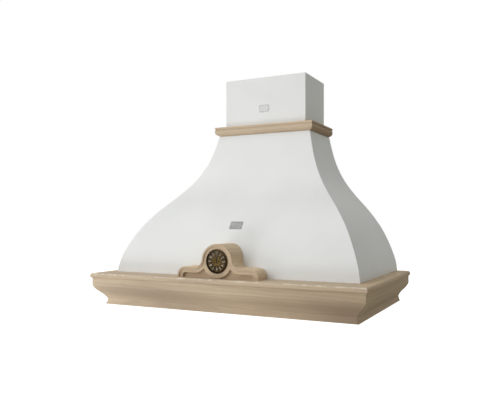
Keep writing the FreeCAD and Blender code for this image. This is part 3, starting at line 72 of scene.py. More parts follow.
camera = bpy.data.objects.new("camera", bpy.data.cameras.new("camera"))
scene.collection.objects.link(camera)
scene.camera = camera
camera.location = CAMERA_PLACE
camera.rotation_euler = (math.radians(90), 0, CAMERA_TURN)
camera.data.sensor_width = SENSOR_WIDTH_MM
camera.data.lens = SENSOR_WIDTH_MM * FOCAL_PIXELS / PICTURE_WIDTH
camera.data.shift_x = (PICTURE_WIDTH / 2 - OPTICAL_CENTRE[0]) / PICTURE_WIDTH
camera.data.shift_y = (OPTICAL_CENTRE[1] - PICTURE_HEIGHT / 2) / PICTURE_WIDTH
camera.data.clip_start = 0.05
camera.data.clip_end = 60
print("lens of %.1f mm" % camera.data.lens)

# %% [markdown]
# ## Colour and nodes
# Colours are written as the sRGB hex values a painter's colour card would give, and turned to linear light
# in one place. One function adds a shader node, sets it up, wires it and gives back an output, whatever its
# kind, so a material reads as a chain of named steps.


# %% Helpers for materials
def linear(hex_colour):
    """Turns an sRGB hex colour into the linear RGBA that shaders work in."""
    channels = [int(hex_colour[i:i + 2], 16) / 255 for i in (1, 3, 5)]
    decoded = [c / 12.92 if c <= 0.04045 else ((c + 0.055) / 1.055) ** 2.4 for c in channels]
    return (*decoded, 1)


def add(tree, kind, inputs=None, output=0, stops=(), **settings):
    """Adds one node of any kind and gives back one of its outputs.

    Inputs are sockets to link, numbers or hex colours. Stops are a colour ramp's (position, hex colour)
    pairs. Settings are the node's own options.
    """
    made = tree.nodes.new("ShaderNode" + kind)
    for name, value in settings.items():
        setattr(made, name, value)
    for name, value in (inputs or {}).items():
        if isinstance(value, bpy.types.NodeSocket):
            tree.links.new(value, made.inputs[name])
        else:
            made.inputs[name].default_value = linear(value) if isinstance(value, str) else value
    if stops:
        elements = made.color_ramp.elements
        while len(elements) < len(stops):
            elements.new(0.5)
        for element, (position, colour) in zip(elements, stops):
            element.position = position
            element.color = linear(colour)
    return made.outputs[output] if made.outputs else None


def new_material(name, **surface):
    """A material with its surface shader; the keyword values go on the shader's own sockets."""
    material = bpy.data.materials.new(name)
    material.use_nodes = True
    tree = material.node_tree
    shader = tree.nodes["Principled BSDF"]
    for socket, value in surface.items():
        shader.inputs[socket.replace("_", " ")].default_value = value
    return material, tree, shader, add(tree, "TexCoord", output="Object")


def wire_up(shader, **patterns):
    """Links patterns to the shader's sockets of the same names."""
    for socket, pattern in patterns.items():
        shader.id_data.links.new(pattern, shader.inputs[socket.replace("_", " ")])


def per_metre(*sizes_mm):
    """How many features of each size fit in a metre, which is what a pattern's scale counts."""
    return tuple(1000 / size for size in sizes_mm)


def soft_edges(tree, radius_mm):
    """The surface direction as if every edge were rounded, and how near to such an edge a point is."""
    rounded = add(tree, "Bevel", {"Radius": radius_mm * MM}, samples=6)
    plain = add(tree, "NewGeometry", output="Normal")
    likeness = add(tree, "VectorMath", {0: rounded, 1: plain}, "Value", operation="DOT_PRODUCT")
    near = add(tree, "MapRange", {"Value": likeness, "From Min": 0.995, "From Max": 0.90})
    return rounded, near


print("one red, decoded:", [round(value, 3) for value in linear("#C04030")])

# %% [markdown]
# ## Raw ash
# The mouldings are planed and sanded ash, left without oil or varnish, so the wood is pale, nearly matt
# and shows its open pores as short dark dashes. A board is a slice of a log: the growth rings are
# long tubes round the pith, and where the saw cuts them at a shallow angle they show as flames. The
# material builds just that, in three dimensions: distance from a pith line that runs beside the piece,
# bent a little by noise, and cut into rings. End grain and flames then come out right on every face.
# Real rings are 2 to 3 mm apart; they are drawn about three times as coarse, because finer ones would
# vanish. A narrow band along each edge is painted paler: a painted highlight on the rounded arrises.

# %% The grain of ash
RING_SPACING_MM = 8.0
RING_TAPER = 0.03
WANDER_SIZE_MM = (454.5, 125, 125)
FIBRE_WANDER_MM = 40
RIPPLE_MM = 111.1
CENTRED = (0.5, 0.5, 0.5)


def growth_rings(tree, board, pith_mm):
    """How far through its growth ring each point lies, 0 to 1, and the place bent with the fibres."""
    slow = add(tree, "VectorMath", {0: board, 1: per_metre(*WANDER_SIZE_MM)}, operation="MULTIPLY")
    cloud = add(tree, "TexNoise", {"Vector": slow, "Scale": 1.0, "Roughness": 0.45}, "Color")
    wander = add(tree, "VectorMath", {0: cloud, 1: CENTRED}, operation="SUBTRACT")
    reach = (0, FIBRE_WANDER_MM * MM, FIBRE_WANDER_MM * MM)
    wander = add(tree, "VectorMath", {0: wander, 1: reach}, operation="MULTIPLY")
    bent = add(tree, "VectorMath", {0: board, 1: wander}, operation="ADD")
    pith = (0, pith_mm[0] * MM, pith_mm[1] * MM)
    from_pith = add(tree, "VectorMath", {0: bent, 1: pith}, operation="SUBTRACT")
    from_pith = add(tree, "VectorMath", {0: from_pith, 1: (0, 1, 1)}, operation="MULTIPLY")
    radius = add(tree, "VectorMath", {0: from_pith}, "Value", operation="LENGTH")
    along = add(tree, "SeparateXYZ", {"Vector": board})
    radius = add(tree, "Math", {0: along, 1: RING_TAPER, 2: radius}, operation="MULTIPLY_ADD")
    count = add(tree, "Math", {0: radius, 1: RING_SPACING_MM * MM}, operation="DIVIDE")
    return add(tree, "Math", {0: count}, operation="FRACT"), bent


def heart_streak(tree, place, centre_mm, half_mm):
    """A long soft patch of greyer heartwood, 1 in its middle and 0 outside."""
    cloud = add(tree, "TexNoise", {"Vector": place, "Scale": 1000 / RIPPLE_MM}, "Color")
    ripple = add(tree, "VectorMath", {0: cloud, 1: CENTRED}, operation="SUBTRACT")
    ripple = add(tree, "VectorMath", {0: ripple, 1: (0.10, 0.0, 0.045)}, operation="MULTIPLY")
    moved = add(tree, "VectorMath", {0: place, 1: ripple}, operation="ADD")
    centre = [value * MM for value in centre_mm]
    moved = add(tree, "VectorMath", {0: moved, 1: centre}, operation="SUBTRACT")
    moved = add(tree, "VectorMath", {0: moved, 1: per_metre(*half_mm)}, operation="MULTIPLY")
    distance = add(tree, "VectorMath", {0: moved}, "Value", operation="LENGTH")
    return add(tree, "MapRange", {"Value": distance, "From Min": 1.15, "From Max": 0.25})


print("rings drawn %.0f mm apart" % RING_SPACING_MM)

# %% [markdown]
# ## The tones of ash
# Over the rings lie broader bands, where the tree grew faster or slower, and the fine streaks of the fibres.
# Pores sit in the early wood of each ring. Along the rounded upper edge of a board lies a painted highlight
# of pale, broken dashes: they are found by the direction of the surface, which is the same in every view.

# %% Painted edge highlight and pores
HIGHLIGHT_DASH_MM = (23.81, 166.7, 166.7)
PORE_LENGTH_MM = 14
PORE_WIDTH_MM = 0.7


def polished_flecks(tree, place):
    """Painted highlight: pale dashes on the part of a rounded edge that faces half upwards."""
    facing = add(tree, "NewGeometry", output="Normal")
    upward = add(tree, "SeparateXYZ", {"Vector": facing}, "Z")
    off_front = add(tree, "MapRange", {"Value": upward, "From Min": 0.30, "From Max": 0.65})
    off_top = add(tree, "MapRange", {"Value": upward, "From Min": 0.995, "From Max": 0.93})
    crown = add(tree, "Math", {0: off_front, 1: off_top}, operation="MULTIPLY")
    stretched = add(tree, "VectorMath", {0: place, 1: per_metre(*HIGHLIGHT_DASH_MM)}, operation="MULTIPLY")
    dash = add(tree, "TexNoise", {"Vector": stretched, "Scale": 1.0, "Detail": 1.0})
    dash = add(tree, "MapRange", {"Value": dash, "From Min": 0.47, "From Max": 0.60})
    dash = add(tree, "Math", {0: dash, 1: 0.7, 2: 0.3}, operation="MULTIPLY_ADD")
    return add(tree, "Math", {0: crown, 1: dash}, operation="MULTIPLY")


def open_pores(tree, board, ring):
    """Short dark dashes, thickest in the early wood of each ring."""
    grid = per_metre(PORE_LENGTH_MM, PORE_WIDTH_MM, PORE_WIDTH_MM)
    stretched = add(tree, "VectorMath", {0: board, 1: grid}, operation="MULTIPLY")
    dash = add(tree, "TexNoise", {"Vector": stretched, "Scale": 1.0, "Detail": 1.0})
    dash = add(tree, "MapRange", {"Value": dash, "From Min": 0.60, "From Max": 0.72})
    early = add(tree, "MapRange", {"Value": ring, "From Min": 0.35, "From Max": 0.95})
    return add(tree, "Math", {0: dash, 1: early}, operation="MULTIPLY")


print("pores %.1f mm wide" % PORE_WIDTH_MM)

# %% Ash
BAND_SIZE_MM = (384.6, 55.56, 45.45)
FIBRE_SIZE_MM = (45.45, 1.111, 1.111)
ARRIS_MM = 1.6
TOWARDS_YELLOW = 0.495
AXES = {"X": (0, 1, 2), "Y": (1, 0, 2)}
RING_TONES = ((0.0, "#D3BFA1"), (0.45, "#CAB595"), (0.82, "#B39B7E"), (1.0, "#CFBB9C"))
BAND_TONES = ((0.30, "#B09880"), (0.45, "#C2AC90"), (0.60, "#CDB899"), (0.78, "#DAC9AC"))
HEARTWOOD = "#97826D"
PAINTED_HIGHLIGHT = "#F6ECDA"
FIBRE_SHADE = "#B79C7C"
PORE_SHADE = "#7E6850"
ARRIS_HIGHLIGHT = "#E6D6BC"


def raw_ash(name, grain, pith_mm, offset, tone=0.0, warmth=1.0, light_and_tone_drift=0.0, streaks=(), highlight_dashes=0.0):
    """Sanded ash whose fibres run along one axis, sawn beside a pith at pith_mm across that axis.

    light_and_tone_drift makes the piece paler and cooler towards its left end, partly painted light from
    the left and partly the wood's own tone; each of the streaks is the centre, half size and depth of a patch
    of heartwood; highlight_dashes adds a painted highlight, pale dashes along the rounded upper edge.
    """
    material, tree, shader, place = new_material(name, Roughness=0.62, IOR=1.5)
    split = add(tree, "SeparateXYZ", {"Vector": place}).node.outputs
    board = add(tree, "CombineXYZ", {i: split[axis] for i, axis in enumerate(AXES[grain])})
    board = add(tree, "VectorMath", {0: board, 1: (offset, 0, 0)}, operation="ADD")
    ring, bent = growth_rings(tree, board, pith_mm)
    ring_tint = add(tree, "ValToRGB", {"Fac": ring}, stops=RING_TONES)
    broad = add(tree, "VectorMath", {0: bent, 1: per_metre(*BAND_SIZE_MM)}, operation="MULTIPLY")
    band = add(tree, "TexNoise", {"Vector": broad, "Scale": 1.0, "Detail": 3.0})
    band_tint = add(tree, "ValToRGB", {"Fac": band}, stops=BAND_TONES)
    fine = add(tree, "VectorMath", {0: board, 1: per_metre(*FIBRE_SIZE_MM)}, operation="MULTIPLY")
    fibre = add(tree, "TexNoise", {"Vector": fine, "Scale": 1.0})
    colour = add(tree, "Mix", {"Factor": 0.30, "A": band_tint, "B": ring_tint}, 2, data_type="RGBA")
    for centre_mm, half_mm, depth in streaks:
        patch = heart_streak(tree, place, centre_mm, half_mm)
        patch = add(tree, "Math", {0: patch, 1: depth}, operation="MULTIPLY")
        colour = add(tree, "Mix", {"Factor": patch, "A": colour, "B": HEARTWOOD}, 2, data_type="RGBA")
    # A painted highlight: pale broken dashes where a rounded upper edge faces half upwards.
    if highlight_dashes:
        shown = add(tree, "Math", {0: polished_flecks(tree, place), 1: highlight_dashes}, operation="MULTIPLY")
        colour = add(tree, "Mix", {"Factor": shown, "A": colour, "B": PAINTED_HIGHLIGHT}, 2, data_type="RGBA")
    shown = add(tree, "Math", {0: fibre, 1: 0.22}, operation="MULTIPLY")
    colour = add(tree, "Mix", {"Factor": shown, "A": colour, "B": FIBRE_SHADE}, 2, data_type="RGBA")
    pore = open_pores(tree, board, ring)
    shown = add(tree, "Math", {0: pore, 1: 0.30}, operation="MULTIPLY")
    colour = add(tree, "Mix", {"Factor": shown, "A": colour, "B": PORE_SHADE}, 2, data_type="RGBA")
    # Every edge is painted paler: a painted highlight along the rounded arrises.
    rounded, near_edge = soft_edges(tree, ARRIS_MM)
    shown = add(tree, "Math", {0: near_edge, 1: 0.35}, operation="MULTIPLY")
    colour = add(tree, "Mix", {"Factor": shown, "A": colour, "B": ARRIS_HIGHLIGHT}, 2, data_type="RGBA")
    # Paler and cooler towards the left end: partly painted light falling from the left, partly the wood's own
    # tone.
    level = add(tree, "Math", {0: split[0], 1: -light_and_tone_drift, 2: 1.0 + tone}, operation="MULTIPLY_ADD")
    depth = add(tree, "Math", {0: split[0], 1: light_and_tone_drift * 0.45, 2: warmth}, operation="MULTIPLY_ADD")
    shade = add(tree, "HueSaturation", {"Color": colour, "Value": level, "Saturation": depth,
                                        "Hue": TOWARDS_YELLOW})
    rough = add(tree, "MapRange", {"Value": fibre, "To Min": 0.52, "To Max": 0.72})
    sunk = add(tree, "Math", {0: pore, 1: -0.8}, operation="MULTIPLY")
    relief = add(tree, "Math", {0: fibre, 1: 0.35, 2: sunk}, operation="MULTIPLY_ADD")
    dents = add(tree, "Bump", {"Height": relief, "Distance": 0.12 * MM, "Strength": 0.6, "Normal": rounded})
    wire_up(shader, Base_Color=shade, Roughness=rough, Normal=dents)
    return material


FRONT_STREAKS = (
    ((-225, -500, -263), (215, 400, 33), 0.52),
    ((-160, -500, -305), (220, 400, 40), 0.50),
    ((455, -500, -300), (235, 400, 60), 0.80),
)
# The front moulding and the front board grow paler towards the left: partly painted light, partly tone.
front_ash = raw_ash("raw_ash_front_moulding", "X", (-395, -325), 0.10, tone=-0.02, warmth=0.93, light_and_tone_drift=0.38,
                    streaks=FRONT_STREAKS)
left_ash = raw_ash("raw_ash_left_moulding", "Y", (-400, -330), 1.70, tone=0.1, warmth=0.95)
right_ash = raw_ash("raw_ash_right_moulding", "Y", (400, -330), 2.90, tone=-0.06, warmth=1.10)
# The front board's rounded nose carries the painted highlight dashes.
board_ash = raw_ash("raw_ash_front_board", "X", (-440, -330), 4.30, tone=0.01, warmth=0.90, light_and_tone_drift=0.20,
                    highlight_dashes=0.75)
board_side_ash = raw_ash("raw_ash_side_board", "Y", (410, -330), 5.20, tone=0.08, warmth=1.05)
ring_ash = raw_ash("raw_ash_ring_front", "X", (-150, 190), 6.10, tone=0.13, warmth=0.88)
ring_side_ash = raw_ash("raw_ash_ring_side", "Y", (150, 190), 7.40, tone=-0.10, warmth=1.17)
clock_ash = raw_ash("raw_ash_clock_case", "X", (-480, -340), 8.30, warmth=0.98)
# The shell's ash runs front to back, its own grain, and is made far paler than the front: painted light on
# the case's sides.
lit_shell_ash = raw_ash("raw_ash_clock_shell_painted_lit", "Y", (30, -300), 9.10, tone=0.36, warmth=0.95)
print("ash cuts:", sum(material.name.startswith("raw_ash") for material in bpy.data.materials))

# %% [markdown]
# ## Painted steel
# The bell and the chimney are folded steel with a baked polyester powder coat in a satin white. Powder
# melts into a skin that is never quite flat: it has a faint orange peel, about two millimetres across, that
# softens reflections. The binder has the IOR of most plastics, 1.5. The paint also rounds each fold of the
# sheet, which shows as a fine bright line down the corners.

# %% Powder coat
FOLD_RADIUS_MM = 1.5
PEEL_MM = 2.083
WAVE_MM = 33.33
CLOUD_MM = 142.9


def powder_coat(name, colour, bright):
    material, tree, shader, place = new_material(name, Roughness=0.42, IOR=1.5)
    cloud = add(tree, "TexNoise", {"Vector": place, "Scale": 1000 / CLOUD_MM})
    tint = add(tree, "ValToRGB", {"Fac": cloud}, stops=((0.3, colour), (0.7, bright)))
    peel = add(tree, "TexNoise", {"Vector": place, "Scale": 1000 / PEEL_MM, "Detail": 1.0})
    wave = add(tree, "TexNoise", {"Vector": place, "Scale": 1000 / WAVE_MM, "Detail": 1.0})
    rough = add(tree, "MapRange", {"Value": wave, "To Min": 0.36, "To Max": 0.46})
    rounded, _ = soft_edges(tree, FOLD_RADIUS_MM)
    dents = add(tree, "Bump", {"Height": peel, "Distance": 0.02 * MM, "Strength": 0.5, "Normal": rounded})
    wire_up(shader, Base_Color=tint, Roughness=rough, Normal=dents)
    return material


white_coat = powder_coat("powder_coated_steel_white", "#E9EAEC", "#EDEEF0")
print("painted:", white_coat.name)

# %% [markdown]
# ## Bare metals
# The hidden sheets are galvanised steel, whose zinc freezes into spangles nearly 8 mm wide. The
# underside is brushed stainless: fine scratches along one direction stretch every highlight across them.
# They are drawn 0.6 mm wide, coarser than real ones, so that they show. The clock's metal is brass that has
# been darkened in a patina bath and worn bright by rubbing on its high spots; its edges are paler, partly
# from that wear and partly as a painted highlight.

# %% Metals
SPANGLE_MM = 7.692
SCRATCH_WIDTH_MM = 0.625
SCRATCH_LENGTH_MM = 71.43
WEAR_MM = 3.846
WORN_AND_HIGHLIT_EDGE_MM = 0.5


def galvanised(name):
    material, tree, shader, place = new_material(name, Metallic=1.0, Roughness=0.4)
    cells = add(tree, "TexVoronoi", {"Vector": place, "Scale": 1000 / SPANGLE_MM}, "Color")
    grey = add(tree, "SeparateColor", {"Color": cells})
    tint = add(tree, "ValToRGB", {"Fac": grey}, stops=((0.0, "#AEB3B6"), (1.0, "#C2C6C8")))
    rough = add(tree, "MapRange", {"Value": grey, "To Min": 0.40, "To Max": 0.48})
    wire_up(shader, Base_Color=tint, Roughness=rough)
    return material


def brushed(name, colour, along, roughness=0.32, bright="#D2D2D0"):
    """Metal with hairline scratches along one axis, from its colour to its bright tone."""
    material, tree, shader, place = new_material(name, Metallic=1.0, Roughness=roughness, Anisotropic=0.5)
    sizes_mm = [SCRATCH_LENGTH_MM if axis == along else SCRATCH_WIDTH_MM for axis in "XYZ"]
    stretched = add(tree, "VectorMath", {0: place, 1: per_metre(*sizes_mm)}, operation="MULTIPLY")
    hair = add(tree, "TexNoise", {"Vector": stretched, "Scale": 1.0})
    tint = add(tree, "ValToRGB", {"Fac": hair}, stops=((0.3, colour), (0.7, bright)))
    rough = add(tree, "MapRange", {"Value": hair, "To Min": roughness - 0.06, "To Max": roughness + 0.08})
    dents = add(tree, "Bump", {"Height": hair, "Distance": 0.01 * MM, "Strength": 0.4})
    wire_up(shader, Base_Color=tint, Roughness=rough, Normal=dents)
    return material


def patinated(name, low, high, roughness=0.42):
    """Darkened brass: brown in hollows, golden where worn, and paler edges that are partly a painted
    highlight.
    """
    material, tree, shader, place = new_material(name, Metallic=1.0, Roughness=roughness)
    wear = add(tree, "TexNoise", {"Vector": place, "Scale": 1000 / WEAR_MM, "Detail": 3.0})
    rounded, near_edge = soft_edges(tree, WORN_AND_HIGHLIT_EDGE_MM)
    tint = add(tree, "ValToRGB", {"Fac": wear}, stops=((0.35, low), (0.68, high)))
    # Every edge is mixed towards the bright tone: partly wear, partly a painted highlight.
    worn_and_highlit = add(tree, "Mix", {"Factor": near_edge, "A": tint, "B": high}, 2, data_type="RGBA")
    rough = add(tree, "MapRange", {"Value": wear, "To Min": roughness + 0.1, "To Max": roughness - 0.08})
    dents = add(tree, "Bump", {"Height": wear, "Distance": 0.03 * MM, "Strength": 0.5, "Normal": rounded})
    wire_up(shader, Base_Color=worn_and_highlit, Roughness=rough, Normal=dents)
    return material


zinc_sheet = galvanised("galvanised_steel")
stainless = brushed("brushed_stainless_steel", "#B9B9B6", "X")
stainless_filter = brushed("brushed_stainless_baffles", "#C2C2BF", "Y")
zinc_screw = brushed("zinc_plated_steel", "#BDBFC0", "Z", 0.28)
aluminium = brushed("die_cast_aluminium", "#B8BABB", "Z", 0.45)
lamp_metal = brushed("satin_nickel", "#BEBDB9", "X", 0.25)
old_brass = patinated("patinated_brass", "#5A452A", "#A98A52")
dark_bronze = patinated("dark_bronze", "#33281A", "#5C4A33", 0.55)
bezel_bronze = patinated("bezel_bronze", "#2B2215", "#4E3F28", 0.5)
gilt = patinated("rubbed_gilt_brass", "#6A5530", "#B79A58", 0.45)
print("materials so far:", len(bpy.data.materials))

# %% [markdown]
# ## Plastic and glass
# Knobs, boxes and latches are moulded ABS, which takes the fine grain of its spark-eroded mould. The lamp
# lenses are opal glass: part of the light passes and scatters, and part comes back white. The clock's glass
# is a thin clear pane right in front of the dial. A pane that refracts would keep the lamps from lighting
# what lies behind it, so this one is a thin, nearly see-through film with a glossy skin.

# %% Plastic and glass
MOULD_GRAIN_MM = 0.7143
OPAL_SMEAR_MM = 25
PANE_SMEAR_MM = 16.67


def cast_plastic(name, colour, roughness):
    material, tree, shader, place = new_material(name, Roughness=roughness, IOR=1.54)
    shader.inputs["Base Color"].default_value = linear(colour)
    grain = add(tree, "TexNoise", {"Vector": place, "Scale": 1000 / MOULD_GRAIN_MM})
    rough = add(tree, "MapRange", {"Value": grain, "To Min": roughness - 0.05, "To Max": roughness + 0.08})
    dents = add(tree, "Bump", {"Height": grain, "Distance": 0.02 * MM, "Strength": 0.5})
    wire_up(shader, Roughness=rough, Normal=dents)
    return material


def opal_pane(name, roughness):
    material, tree, shader, place = new_material(name, Roughness=roughness, IOR=1.5, Transmission_Weight=0.25)
    smear = add(tree, "TexNoise", {"Vector": place, "Scale": 1000 / OPAL_SMEAR_MM})
    tint = add(tree, "ValToRGB", {"Fac": smear}, stops=((0.3, "#DFE1DE"), (0.7, "#ECEDEA")))
    rough = add(tree, "MapRange", {"Value": smear, "To Min": roughness, "To Max": roughness + 0.1})
    wire_up(shader, Base_Color=tint, Roughness=rough)
    return material


def clear_pane(name, opacity):
    material, tree, shader, place = new_material(name, Roughness=0.05, IOR=1.5, Alpha=opacity)
    shader.inputs["Base Color"].default_value = linear("#202220")
    smear = add(tree, "TexNoise", {"Vector": place, "Scale": 1000 / PANE_SMEAR_MM})
    wire_up(shader, Roughness=add(tree, "MapRange", {"Value": smear, "To Min": 0.03, "To Max": 0.09}))
    return material


black_abs = cast_plastic("black_abs", "#1B1B1C", 0.5)
button_abs = cast_plastic("polished_abs", "#2A2A2C", 0.25)
clock_pane = clear_pane("clear_glass_pane", 0.10)
opal_glass = opal_pane("opal_glass", 0.30)
print("materials so far:", len(bpy.data.materials))

# %% [markdown]
# ## Dressing the frame
# One table says which finish each node of the frame wears. The clock case wears two: it has a carved front
# board, and round it a bent shell whose fibres run from front to back, cut in a paler copy of the ash
# that paints light onto the case's sides.


# %% Dress the frame's own nodes
def finish_node(name, material):
    """Gives every face of a frame node one material."""
    mesh = nodes[name].data
    mesh.materials.clear()
    mesh.materials.append(material)
    for polygon in mesh.polygons:
        polygon.material_index = 0


FINISHES = {
    "cornice_moulding_front": front_ash,
    "cornice_moulding_left": left_ash, "cornice_moulding_right": right_ash,
    "shelf_board_front": board_ash, "shelf_board_left": board_side_ash, "shelf_board_right": board_side_ash,
    "shelf_board_back": board_ash, "cornice_back_rail": front_ash, "glue_blocks": board_ash,
    "neck_ring_front": ring_ash, "neck_ring_left": ring_side_ash, "neck_ring_right": ring_side_ash,
    "clock_case": clock_ash,
    "bell_front": white_coat, "bell_left": white_coat, "bell_right": white_coat,
    "chimney_cover": white_coat, "chimney_extension": white_coat,
    "canopy_pan": stainless, "filter_left": stainless_filter, "filter_right": stainless_filter,
    "latch_left": black_abs, "latch_right": black_abs,
    "control_fascia": black_abs, "switch_box": black_abs, "junction_box": black_abs,
    "cable_gland": black_abs, "clock_movement": black_abs,
    "lamp_bodies": lamp_metal, "lamp_lenses": opal_glass,
    "clock_bezel": bezel_bronze, "clock_housing": old_brass,
    "clock_dial": dark_bronze, "clock_glass": clock_pane,
    "hour_hand": dark_bronze, "minute_hand": dark_bronze,
    "blower_motor": aluminium, "impeller": zinc_sheet, "motor_shaft": zinc_screw,
}
FINISHES.update({"button_%d" % (i + 1): button_abs for i in range(5)})
BARE_SHEETS = ("bell_back", "neck_plate", "blower_scroll", "motor_bracket", "duct_spigot", "flap_front",
               "flap_rear")
FASTENERS = ("chimney_rivets", "neck_screws", "pan_screws", "bell_screws", "clock_screws", "flap_pin")
for name in BARE_SHEETS:
    FINISHES[name] = zinc_sheet
for name in FASTENERS:
    FINISHES[name] = zinc_screw
for name in nodes:
    finish_node(name, FINISHES[name])

print("dressed", len(nodes), "nodes")

# %% The shell of the clock case, in paler ash that paints light on its sides
SHELL_SLOT = 1
BACK_REACH_MM = 0.1
SIDEWAYS = 0.3

case = nodes["clock_case"].data
case.materials.append(lit_shell_ash)
case_back_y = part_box("clock_case")[1].y
for polygon in case.polygons:
    farthest = max(case.vertices[index].co.y for index in polygon.vertices)
    if farthest > case_back_y - BACK_REACH_MM * MM and abs(polygon.normal.y) < SIDEWAYS:
        polygon.material_index = SHELL_SLOT
print("shell faces:", sum(polygon.material_index == SHELL_SLOT for polygon in case.polygons))

# %% [markdown]
# ## Building small pieces
# What is left is mostly the goldsmith's work: the face of the clock, two little plates, small marks on the
# buttons. They could be sculpted, but all of them are regular forms, so they are made from numbers: a
# profile turned about an axis, a wire bent along a curve, a rounded rectangle stepped in and out. The back
# of the clock case is cut from the case's own face. Each piece then rides on the body that carries it.


# %% Helpers for pieces
CREASE = math.radians(35)


def piece(name, mesh, material, body):
    """Turns a finished bmesh into an object with its material, riding on a body of the frame."""
    bmesh.ops.recalc_face_normals(mesh, faces=mesh.faces)
    data = bpy.data.meshes.new(name)
    mesh.to_mesh(data)
    mesh.free()
    data.polygons.foreach_set("use_smooth", [True] * len(data.polygons))
    data.set_sharp_from_angle(angle=CREASE)
    made = bpy.data.objects.new(name, data)
    scene.collection.objects.link(made)
    data.materials.append(material)
    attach(made, body)
    print("%-22s %5d faces, rides on %s" % (name, len(data.polygons), body))
    return made


def skin(mesh, rings, closed=False):
    """Joins rings of equally many vertices with strips of quads."""
    pairs = list(zip(rings, rings[1:]))
    if closed:
        pairs.append((rings[-1], rings[0]))
    for first, second in pairs:
        for i in range(len(first)):
            mesh.faces.new((first[i - 1], first[i], second[i], second[i - 1]))


def turned(mesh, place, profile, steps=96):
    """A closed ring turned about place's forward axis, from (radius, forward) points in millimetres."""
    rings = []
    for radius, forward in profile:
        ring = []
        for step in range(steps):
            a = 2 * math.pi * step / steps
            point = Vector((math.sin(a) * radius, -forward, math.cos(a) * radius))
            ring.append(mesh.verts.new(place @ (point * MM)))
        rings.append(ring)
    skin(mesh, rings, closed=True)


def wire(mesh, place, points, thickness_mm, sides=6):
    """A round wire bent along (x, z) points in millimetres, lying in place's own upright plane."""
    rings = []
    for index, (x, z) in enumerate(points):
        before = points[max(index - 1, 0)]
        after = points[min(index + 1, len(points) - 1)]
        run = Vector((after[0] - before[0], 0, after[1] - before[1])).normalized()
        across = Vector((run.z, 0, -run.x))
        ring = []
        for side in range(sides):
            a = 2 * math.pi * side / sides
            offset = (across * math.cos(a) + Vector((0, -1, 0)) * math.sin(a)) * thickness_mm / 2
            ring.append(mesh.verts.new(place @ ((Vector((x, 0, z)) + offset) * MM)))
        rings.append(ring)
    skin(mesh, rings)
    for end in (rings[0], rings[-1]):
        mesh.faces.new(end)


print("helpers ready, creases from %.0f degrees" % math.degrees(CREASE))

# %% [markdown]
# ## The dial
# The photograph shows an antique-style insert: a dark dial, a paler worked centre and twelve cream numerals
# that stand with their feet to the centre. Its finer lines are a guess in the same style: raised rings and
# a track of sixty small marks. The plate is turned in one piece with a sunken ground, so that nothing rises
# to the hands.

# %% Dial plate
CLOCK_CENTRE = sum(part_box("clock_dial"), Vector()) / 2
DIAL_BACK_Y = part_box("clock_dial")[1].y
dial_place = Matrix.Translation((CLOCK_CENTRE.x, DIAL_BACK_Y, CLOCK_CENTRE.z))
DIAL_RADIUS_MM = (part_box("clock_dial")[1].z - CLOCK_CENTRE.z) / MM
ARBOR_HOLE_MM = 2.4
FRONT_MM = 0.78
GROUND_MM = 0.42
CENTRE_RING_MM = 15.0
TRACK_RING_MM = 28.6
dial_profile = [
    (ARBOR_HOLE_MM, 0.0), (ARBOR_HOLE_MM, GROUND_MM),
    (CENTRE_RING_MM - 0.5, GROUND_MM), (CENTRE_RING_MM - 0.2, FRONT_MM),
    (CENTRE_RING_MM + 0.7, FRONT_MM), (CENTRE_RING_MM + 1.0, GROUND_MM),
    (TRACK_RING_MM - 0.5, GROUND_MM), (TRACK_RING_MM - 0.3, FRONT_MM - 0.1),
    (TRACK_RING_MM + 0.1, FRONT_MM - 0.1), (TRACK_RING_MM + 0.3, GROUND_MM),
    (DIAL_RADIUS_MM - 0.3, GROUND_MM), (DIAL_RADIUS_MM, GROUND_MM - 0.2), (DIAL_RADIUS_MM, 0.0),
]
dial_mesh = bmesh.new()
turned(dial_mesh, dial_place, dial_profile)
dial_plate = piece("dial_plate", dial_mesh, dark_bronze, "clock_insert")
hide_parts("clock_dial")

antique_gold = patinated("antique_gold", "#3A2F17", "#6B5830", 0.5)
DISC_TOP_MM = GROUND_MM + 0.06
DISC_FOOT_MM = GROUND_MM - 0.1
DISC_HOLE_MM = ARBOR_HOLE_MM + 0.6
centre_profile = [
    (DISC_HOLE_MM, DISC_FOOT_MM), (DISC_HOLE_MM, DISC_TOP_MM),
    (CENTRE_RING_MM - 0.9, DISC_TOP_MM), (CENTRE_RING_MM - 0.8, DISC_FOOT_MM),
]
centre_mesh = bmesh.new()
turned(centre_mesh, dial_place, centre_profile)
piece("dial_centre", centre_mesh, antique_gold, "clock_insert")

# %% [markdown]
# ## The filigree and the minute track
# Filigree could be carved in relief; bent wire is simpler and catches the light in the same way. Twelve
# curls shrink as they wind, mirrored in pairs, between two wire rings. The same wire, cut short, makes the
# marks of the track, longer and thicker at the hours.

# %% Filigree and minute track
CURLS = 12
CURL_MM = 2.3
CURL_RADIUS_MM = 10.6
CURL_STEPS = 18
CURL_TURNS = 1.35
CURL_SHRINK = 0.78
TAIL_RADIUS_MM = 3.6
TAIL_LEAN = 0.10
RELIEF_WIRE_MM = 0.34
RING_WIRE_MM = 0.4
RING_STEPS = 48
WIRE_RINGS_MM = (3.9, 13.9)
HOUR_MARK_MM = (28.9, 30.6)
MINUTE_MARK_MM = (29.3, 30.2)


def curl(centre_angle, mirrored):
    """One shrinking spiral whose tail runs in towards the dial's centre."""
    turn_way = -1 if mirrored else 1
    centre = Vector((math.sin(centre_angle), math.cos(centre_angle))) * CURL_RADIUS_MM
    tail = centre_angle - turn_way * TAIL_LEAN
    points = [(math.sin(tail) * TAIL_RADIUS_MM, math.cos(tail) * TAIL_RADIUS_MM)]
    for step in range(CURL_STEPS + 1):
        share = step / CURL_STEPS
        angle = centre_angle + math.pi + turn_way * share * 2 * CURL_TURNS * math.pi
        radius = CURL_MM * (1 - CURL_SHRINK * share)
        points.append((centre.x + math.sin(angle) * radius, centre.y + math.cos(angle) * radius))
    return points


